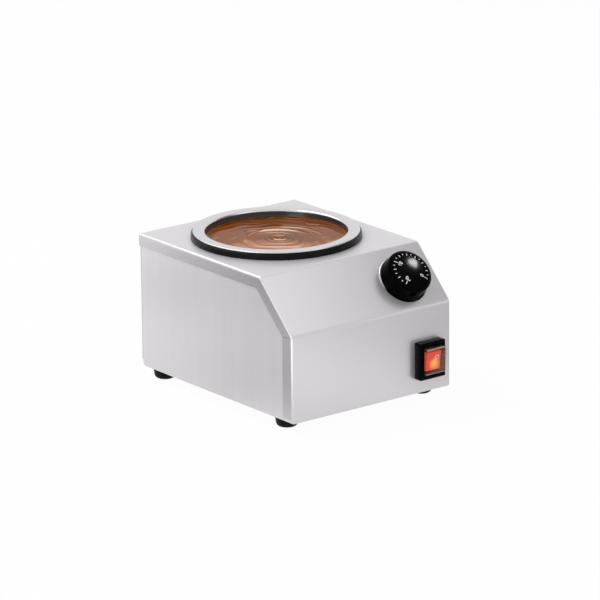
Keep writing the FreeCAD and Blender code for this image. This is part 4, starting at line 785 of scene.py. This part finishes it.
# %% Places of the turned pieces
pan_low, pan_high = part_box("melting_pan")
RIM_TOP = pan_high[2] / MM
PAN_X = (pan_low[0] + pan_high[0]) / 2
PAN_Y = (pan_low[1] + pan_high[1]) / 2
AT_PAN = Matrix.Translation((PAN_X, PAN_Y, 0))
DIAL_CENTRE = Vector(joints["dial_turn"]["pos_m"])
DIAL_AXIS = Vector(joints["dial_turn"]["axis"]).normalized()
ALONG = Vector((1, 0, 0))
UP_SLOPE = DIAL_AXIS.cross(ALONG)
SLOPE_AXES = Matrix((ALONG, UP_SLOPE, DIAL_AXIS)).transposed().to_4x4()
ON_SLOPE = Matrix.Translation(DIAL_CENTRE) @ SLOPE_AXES
print("rim at", round(RIM_TOP, 2), "mm, pan axis", round(PAN_X / MM, 2), round(PAN_Y / MM, 2))

# %% [markdown]
# The pan is drawn from one disc of steel: a deep cup with a broad flat rim, folded back on
# itself to twice the thickness of the wall. It hangs by the rim over a black ring. Only its
# inner wall takes the dark colour, which is painted shade inside the pan and a painted
# reflection of the chocolate. A second piece could carry that, but then the pan would have a
# seam, so its faces are picked by their direction: they look towards the axis and are nearly
# upright.

# %% Pan
PAN_DEPTH = 92.0
PAN_WALL = 0.8
PAN_FLOOR = RIM_TOP - PAN_DEPTH
PAN_FLOOR_R = 66.0
PAN_OPEN_R = 71.8
PAN_BEND = 14.0
RIM_UNDER = RIM_TOP - 1.6
RIM_R = 84.3
RIM_EDGE = 0.72
UPRIGHT = 0.3

pan = turned("melting_pan", [
    (0, PAN_FLOOR, 0),
    (PAN_FLOOR_R, PAN_FLOOR, PAN_BEND),
    (PAN_OPEN_R, RIM_TOP, 2.6),
    (RIM_R, RIM_TOP, RIM_EDGE),
    (RIM_R, RIM_UNDER, RIM_EDGE),
    (PAN_OPEN_R + PAN_WALL, RIM_UNDER, 1.0),
    (PAN_FLOOR_R + PAN_WALL, PAN_FLOOR - PAN_WALL, PAN_BEND + PAN_WALL),
    (0, PAN_FLOOR - PAN_WALL, 0),
], AT_PAN, [pan_steel, pan_wall_painted_shade])


def faces_inwards(face):
    """True for a nearly upright face of the pan that looks towards its axis."""
    out = (face.center - Vector((PAN_X, PAN_Y, 0))).to_2d()
    return out.dot(face.normal.to_2d()) < 0 and abs(face.normal.z) < UPRIGHT


# The inner wall takes the dark steel, which is painted shade and a painted reflection.
paint_faces(pan, 1, faces_inwards)
print("pan faces:", len(pan.data.polygons))

# %% Ring under the rim
DECK = RIM_TOP - 7.8
NECK_R = 77.8  # where the ring passes through the hole of the deck
BORE_R = 75.4

turned("pan_ring", [
    (BORE_R, DECK - 4.5, 0.5),
    (79.2, DECK - 4.5, 0.5),
    (80.4, DECK - 1.1, 0),
    (NECK_R, DECK - 1.1, 0),
    (NECK_R, DECK + 0.1, 0),
    (86.5, DECK + 0.1, 0.5),
    (85.9, DECK + 6.0, 1.5),
    (BORE_R, DECK + 6.0, 0.5),
], AT_PAN, [ring_black])
print("ring on the deck at", round(DECK, 2), "mm")

# %% [markdown]
# The feet are rubber buttons with a rounded foot and a deep recess for the head of the screw.
# One foot could be made and copied, but a copy keeps its place in its object and not in its
# mesh. So each is spun anew from the same profile, and takes its place and height from its
# solid.

# %% Feet
FOOT_R = 12.0
FOOT_LOW_R = 10.5
FOOT_ROUND = 4.6
HEAD_R = 5.0
HEAD_DEEP = 5.6
SCREW_R = 2.25

feet = [name for name in nodes if slot_of[name] == "foot_rubber" and name.startswith("foot_")]
for node in feet:
    low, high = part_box(node)
    middle = Matrix.Translation(((low[0] + high[0]) / 2, (low[1] + high[1]) / 2, low[2]))
    top = (high[2] - low[2]) / MM
    turned(node, [
        (HEAD_R, 0, 0),
        (FOOT_LOW_R, 0, FOOT_ROUND),
        (FOOT_R, top, 0.5),
        (SCREW_R, top, 0),
        (SCREW_R, HEAD_DEEP, 0),
        (HEAD_R, HEAD_DEEP, 0),
    ], middle, [foot_rubber])
print("feet:", feet)

# %% [markdown]
# The dial is a hollow moulding with a domed face, a leaning side and a small step above the
# bezel. The dome is a part of a large sphere, written as a function, because the printed scale
# has to lie on it later.

# %% Dial and bezel
FACE_R = 20.8
FACE_H = 18.0
DOME = 2.0
DOME_R = (FACE_R ** 2 + DOME ** 2) / (2 * DOME)
SKIRT_R = 25.4
SKIRT_LOW = 1.7
HOLLOW_R = 21.1
HUB_R = 6.0
SHAFT_R = 3.05
SHAFT_TOP = 16.3


def dome_height(r):
    """Height of the dial's domed face above the slope, at a distance from its axis."""
    return FACE_H + DOME - DOME_R + math.sqrt(DOME_R ** 2 - r ** 2)


dome = [(r, dome_height(r), 0) for r in range(20)]
dial = turned("dial_knob", dome + [
    (FACE_R, FACE_H, 0.8),
    (24.1, 16.2, 2.2),
    (24.7, 5.2, 0.3),
    (SKIRT_R, 4.4, 0.6),
    (SKIRT_R, SKIRT_LOW, 0.3),
    (21.7, SKIRT_LOW, 0),
    (HOLLOW_R, 14.7, 0.6),
    (17.8, 15.0, 0.6),
    (HUB_R, 15.0, 0),
    (HUB_R, SKIRT_LOW, 0),
    (SHAFT_R, SKIRT_LOW, 0),
    (SHAFT_R, SHAFT_TOP, 0),
    (0, SHAFT_TOP, 0),
], ON_SLOPE, [dial_black])
bezel_profile = [(22.5, 0.1, 0), (26.2, 0.1, 0), (26.2, 1.2, 0.6), (22.5, 1.2, 0)]
turned("dial_bezel", bezel_profile, ON_SLOPE, [chrome])
light_only(lamps["lamp_dial"], dial)
print("dome radius", round(DOME_R, 1), "mm")

# %% [markdown]
# The bezel is a bright ring that shows the black dial in most of its width. Only its upper left
# is bright. Its reflections alone would give bright spots all round, because the studio is paler
# than a room. So a dark reflection of the dial is painted: the chrome's colour is darkened by how
# far a point lies in that direction from the dial's centre, and turns softly from black to the
# colour that it has.

# %% Painted dark reflection on the bezel
BEZEL_BRIGHT = (UP_SLOPE * 0.8 - ALONG * 0.6).normalized()
BEZEL_FADE = (8 * MM, 23 * MM)


def paint_dark_reflection_away(material, towards, centre, start, end):
    """The material's colour fades from black at start to itself at end, along a direction: painted
    shade.
    """
    tree = material.node_tree
    shader = tree.nodes["Principled BSDF"]
    colour = shader.inputs["Base Color"].links[0].from_socket
    at_centre = towards.dot(centre)
    place = add_node(tree, "ShaderNodeTexCoord")
    side = add_node(tree, "ShaderNodeVectorMath", operation="DOT_PRODUCT")
    side.inputs[1].default_value = towards
    shade = add_node(tree, "ShaderNodeMapRange", interpolation_type="SMOOTHSTEP")
    shade.inputs["From Min"].default_value = at_centre + start
    shade.inputs["From Max"].default_value = at_centre + end
    tint = add_node(tree, "ShaderNodeMix", data_type="RGBA", blend_type="MULTIPLY", Factor=1.0)
    tree.links.new(place.outputs["Object"], side.inputs[0])
    tree.links.new(side.outputs["Value"], shade.inputs["Value"])
    tree.links.new(colour, tint.inputs["A"])
    tree.links.new(shade.outputs["Result"], tint.inputs["B"])
    tree.links.new(tint.outputs["Result"], shader.inputs["Base Color"])


# The low side of the bezel gets a painted dark reflection of the black dial.
paint_dark_reflection_away(chrome, BEZEL_BRIGHT, DIAL_CENTRE, *BEZEL_FADE)
print("bezel bright towards", [round(v, 2) for v in BEZEL_BRIGHT])

# %% [markdown]
# The scale is printed on the dome: nineteen ticks over 270 degrees, long ones at the four
# numbers, middle ones at the other even places, and short ones at the odd places. Ticks are
# narrow grids and the numbers are text made into a mesh. Both are laid flat, turned to their
# place round the axis, and then dropped on the dome by its own formula.

# %% Ticks of the scale
TICKS = 19
TICK_STEP = 15.0
TICK_START = 225.0
TICK_OUT = 19.3
TICK_WIDTH = 0.75
TICK_LENGTHS = (1.7, 2.7, 4.2)  # odd places, even places, numbers
NUMBERS = {0: "90", 6: "60", 12: "30", 18: "0"}


def turn_to(index):
    """The turn about the dial's axis that takes x to that tick."""
    return Matrix.Rotation(math.radians(TICK_START - TICK_STEP * index), 4, "Z")


scale_bm = bmesh.new()
for index in range(TICKS):
    kind = 2 if index in NUMBERS else 1 - index % 2
    length = TICK_LENGTHS[kind]
    square = bmesh.ops.create_grid(scale_bm, x_segments=4, y_segments=1, size=0.5)["verts"]
    shape = Matrix.Diagonal((length, TICK_WIDTH, 1, 1))
    outwards = Matrix.Translation((TICK_OUT - length / 2, 0, 0))
    bmesh.ops.transform(scale_bm, matrix=turn_to(index) @ outwards @ shape, verts=square)
print("ticks:", TICKS)

# %% Numbers of the scale
NUMBER_R = 12.1
NUMBER_SIZE = 5.6
NUMBER_WEIGHT = 0.16

to_number = Matrix.Translation((NUMBER_R, 0, 0)) @ Matrix.Rotation(-math.pi / 2, 4, "Z")
for index, text in NUMBERS.items():
    words = bpy.data.curves.new("number", "FONT")
    words.body = text
    words.size = NUMBER_SIZE
    words.align_x = "CENTER"
    words.align_y = "CENTER"
    words.offset = NUMBER_WEIGHT
    holder = link_object("number", words)
    drawn = bpy.data.meshes.new_from_object(holder)
    bpy.data.objects.remove(holder)
    drawn.transform(turn_to(index) @ to_number)
    scale_bm.from_mesh(drawn)
    bpy.data.meshes.remove(drawn)
print("numbers:", list(NUMBERS.values()))

# %% Scale laid on the dome
PRINT_T = 0.06
PRINT_MERGE = 0.001


def thicken(bm, height):
    """A flat shape gets this thickness upwards, and its faces point outwards."""
    grown = bmesh.ops.extrude_face_region(bm, geom=bm.faces[:])["geom"]
    raised = [part for part in grown if isinstance(part, bmesh.types.BMVert)]
    bmesh.ops.translate(bm, vec=(0, 0, height), verts=raised)
    bmesh.ops.recalc_face_normals(bm, faces=bm.faces)


bmesh.ops.remove_doubles(scale_bm, verts=scale_bm.verts, dist=PRINT_MERGE)
for vert in scale_bm.verts:
    vert.co.z = dome_height(vert.co.to_2d().length) - PRINT_T / 2
for face in scale_bm.faces:
    if face.normal.z < 0:
        face.normal_flip()
thicken(scale_bm, PRINT_T)
bmesh.ops.transform(scale_bm, matrix=ON_SLOPE @ Matrix.Scale(MM, 4), verts=scale_bm.verts)
scale = add_piece("dial_scale", scale_bm, "dial", [scale_white])
print("scale faces:", len(scale.data.polygons))

# %% [markdown]
# The rocker carries a plain ring as its mark. It could be the letter O, but a letter is never
# quite round, so it is two circles bridged to a flat ring and given a little thickness. Its
# place is worked out from the pivot of the switch: the face's two halves lean by seven degrees
# from its middle, and the rocker itself is tipped by as much.

# %% Ring mark on the rocker
ROCKER_FACE = 6.4
ROCKER_TILT = math.radians(7)
MARK_PLACE = (4.4, 3.4, 0)
MARK_RADII = (1.5, 2.7)
MARK_STEPS = 40
MARK_T = 0.08
MARK_SUNK = 0.03

mark_bm = bmesh.new()
for radius in MARK_RADII:
    bmesh.ops.create_circle(mark_bm, segments=MARK_STEPS, radius=radius)
bmesh.ops.bridge_loops(mark_bm, edges=mark_bm.edges[:])
thicken(mark_bm, MARK_T)
tilt = Matrix.Rotation(ROCKER_TILT, 4, "X")
on_face = Matrix.Translation((0, 0, ROCKER_FACE - MARK_SUNK)) @ tilt @ Matrix.Translation(MARK_PLACE)
upright = Matrix(((1, 0, 0), (0, 0, -1), (0, 1, 0))).to_4x4()
at_pivot = Matrix.Translation(joints["rocker_tilt"]["pos_m"]) @ upright @ Matrix.Scale(MM, 4)
bmesh.ops.transform(mark_bm, matrix=at_pivot @ tilt @ on_face, verts=mark_bm.verts)
add_piece("rocker_ring_mark", mark_bm, "rocker", [mark_tint])
print("mark placed")

# %% [markdown]
# The chocolate was stirred and left: a small tight curl near the middle, a calm ring round
# it, and long folds that open outwards. A fluid simulation would fold it by chance, and never
# twice as in the photograph. One formula in polar coordinates round the curl gives the height
# of every fold, and each number in it moves one thing. The skin as a whole falls a little from
# the curl outwards.

# %% Helpers for waves
def crease(phase, power):
    """A wave from 0 to 1; a higher power makes its crests narrower."""
    return (0.5 + 0.5 * math.cos(phase)) ** power


def ramp(value, low, high):
    """Rises smoothly from 0 at low to 1 at high."""
    share = min(max((value - low) / (high - low), 0), 1)
    return share * share * (3 - 2 * share)


def drift_at(x, y, scale, seed):
    """A slow random value from -1 to 1 that is the same in every run."""
    return noise.noise(Vector((x * scale, y * scale, seed)))


print("a crease a quarter of the way down:", round(crease(math.pi / 4, 2), 2))

# %% Form of the folds
CURL = Vector((-6.7, -13.0))  # millimetres from the pan's axis
CURL_HEIGHT = 1.3
CURL_REACH = 10.0
CURL_PITCH = 5.6
FOLD_HEIGHT = 0.45
FOLD_PITCH = 11.5
RIBBON_HEIGHT = 0.28
RIBBON_PITCH = 13.0
RIDGE_HEIGHT = 0.9
RIDGE_R = 34.0
RIDGE_WIDTH = 2.6
SWELL_HEIGHT = 0.8
MOUND_R = 14.0
MOUND_FALL = 0.05
CURL_NARROW = 1.6
FOLD_NARROW = 1.8


def fold_height(x, y):
    """Height of the folds in millimetres at a place from the pan's axis."""
    wide = Vector((x, y)) - CURL
    r = wide.length
    angle = math.atan2(wide.y, wide.x)
    drift = drift_at(x, y, 0.04, 3.0)
    bent = r * (1 + 0.14 * drift)
    curl = CURL_HEIGHT * math.exp(-(r / CURL_REACH) ** 2)
    curl *= crease(2 * math.pi * bent / CURL_PITCH - angle + math.pi, CURL_NARROW)
    front = 0.5 + 0.5 * math.cos(angle - 0.4)
    folds = FOLD_HEIGHT * ramp(r, 12, 20) * (1 - ramp(r, 44, 60)) * (0.35 + 0.65 * front)
    folds *= crease(2 * math.pi * bent / FOLD_PITCH - angle + 2.2 * drift, FOLD_NARROW)
    ribbons = RIBBON_HEIGHT * ramp(y, -20, 14) * ramp(r, 12, 22)
    ribbons *= 0.6 + 0.4 * drift_at(x, y, 0.05, 5.0)
    ribbons *= crease(2 * math.pi * (bent + 0.10 * x) / RIBBON_PITCH + 1.6 * drift, FOLD_NARROW)
    ridge = RIDGE_HEIGHT * math.exp(-((r - RIDGE_R) / RIDGE_WIDTH) ** 2) * ramp(y, -8, 12)
    swell = SWELL_HEIGHT * drift_at(x, y, 0.022, 9.0)
    mound = -MOUND_FALL * max(r - MOUND_R, 0)
    return curl + folds + ribbons + ridge + swell + mound


print("height at the curl:", round(fold_height(*CURL), 2), "mm")

# %% [markdown]
# The painted light and shade of each point of the skin come from its lean: the slope of the
# folds, measured over a short step towards the window. The chocolate in the curl and round it
# gets painted shade and is kept calmer than its steep folds would make it, and the skin nearest
# the viewer gets a little painted sheen.

# %% Painted light and shade from the lean of the skin towards the window
TO_WINDOW = Vector((0.61, 0.79))
LEAN_STEP = 0.3
LEAN_GAIN = 2.9
LEAN_LEVEL = 0.42
CENTRE_PAINTED_SHADE = 0.20
CENTRE_R = 20.0
CURL_PAINTED_SHADE = 0.25
CURL_CALM = 0.7
CURL_R = 8.0
FRONT_PAINTED_SHEEN = 0.14
FRONT_FROM = 12.0
FRONT_TO = 50.0


def painted_window_light(x, y):
    """How pale the skin is painted, as a share from 0 to 1: its lean towards the window, with
    painted shade in and round the curl and a painted sheen nearest the viewer.
    """
    ahead = fold_height(x + TO_WINDOW.x * LEAN_STEP, y + TO_WINDOW.y * LEAN_STEP)
    behind = fold_height(x - TO_WINDOW.x * LEAN_STEP, y - TO_WINDOW.y * LEAN_STEP)
    slope = (ahead - behind) / (2 * LEAN_STEP)
    place = Vector((x, y))
    from_curl = (place - CURL).length
    in_curl = math.exp(-(from_curl / CURL_R) ** 2)
    # Painted shade in the curl and round it, and a painted sheen nearest the viewer.
    dark = CENTRE_PAINTED_SHADE * math.exp(-(from_curl / CENTRE_R) ** 2) + CURL_PAINTED_SHADE * in_curl
    painted_sheen = FRONT_PAINTED_SHEEN * ramp(-place.dot(TO_WINDOW), FRONT_FROM, FRONT_TO)
    gain = LEAN_GAIN * (1 - CURL_CALM * in_curl)
    return min(max(LEAN_LEVEL - dark + painted_sheen + gain * slope, 0), 1)


print("lean at the curl:", round(painted_window_light(*CURL), 2))

# %% [markdown]
# The pool is spun from a profile with many steps in its top line, because the folds need finer
# faces than the pan does. Its under side follows the pan just inside the wall. Each point of
# the top is then lifted by the height of the folds and takes its painted light and shade, and at
# the edge the chocolate climbs the wall, as a thick liquid does.

# %% Pool of chocolate
LEVEL = RIM_TOP - 5.4
POOL_R = 71.15
POOL_STEPS = 130
POOL_TURNS = 320
POOL_GAP = 0.1  # between the chocolate and the floor of the pan
CLIMB = 1.2
CLIMB_REACH = 1.6
ON_TOP = (LEVEL - 0.01) * MM

top_line = [(POOL_R * step / POOL_STEPS, LEVEL, 0) for step in range(POOL_STEPS + 1)]
pool_bm = spun(top_line + [
    (PAN_FLOOR_R - POOL_GAP, PAN_FLOOR + POOL_GAP, PAN_BEND - POOL_GAP),
    (0, PAN_FLOOR + POOL_GAP, 0),
], POOL_TURNS)
painted_light_layer = pool_bm.verts.layers.float.new(PAINTED_LIGHT_MARK)
for vert in pool_bm.verts:
    if vert.co.z > ON_TOP:
        x, y = vert.co.x / MM, vert.co.y / MM
        edge = POOL_R - math.hypot(x, y)
        vert.co.z += (fold_height(x, y) + CLIMB * math.exp(-edge / CLIMB_REACH)) * MM
        # The painted light and shade of each point is stored on the skin.
        vert[painted_light_layer] = painted_window_light(x, y)
bmesh.ops.transform(pool_bm, matrix=AT_PAN, verts=pool_bm.verts)
pool = add_piece("chocolate_pool", pool_bm, "pan", [chocolate])
light_only(lamps["lamp_pool"], pool)
print("pool faces:", len(pool.data.polygons))
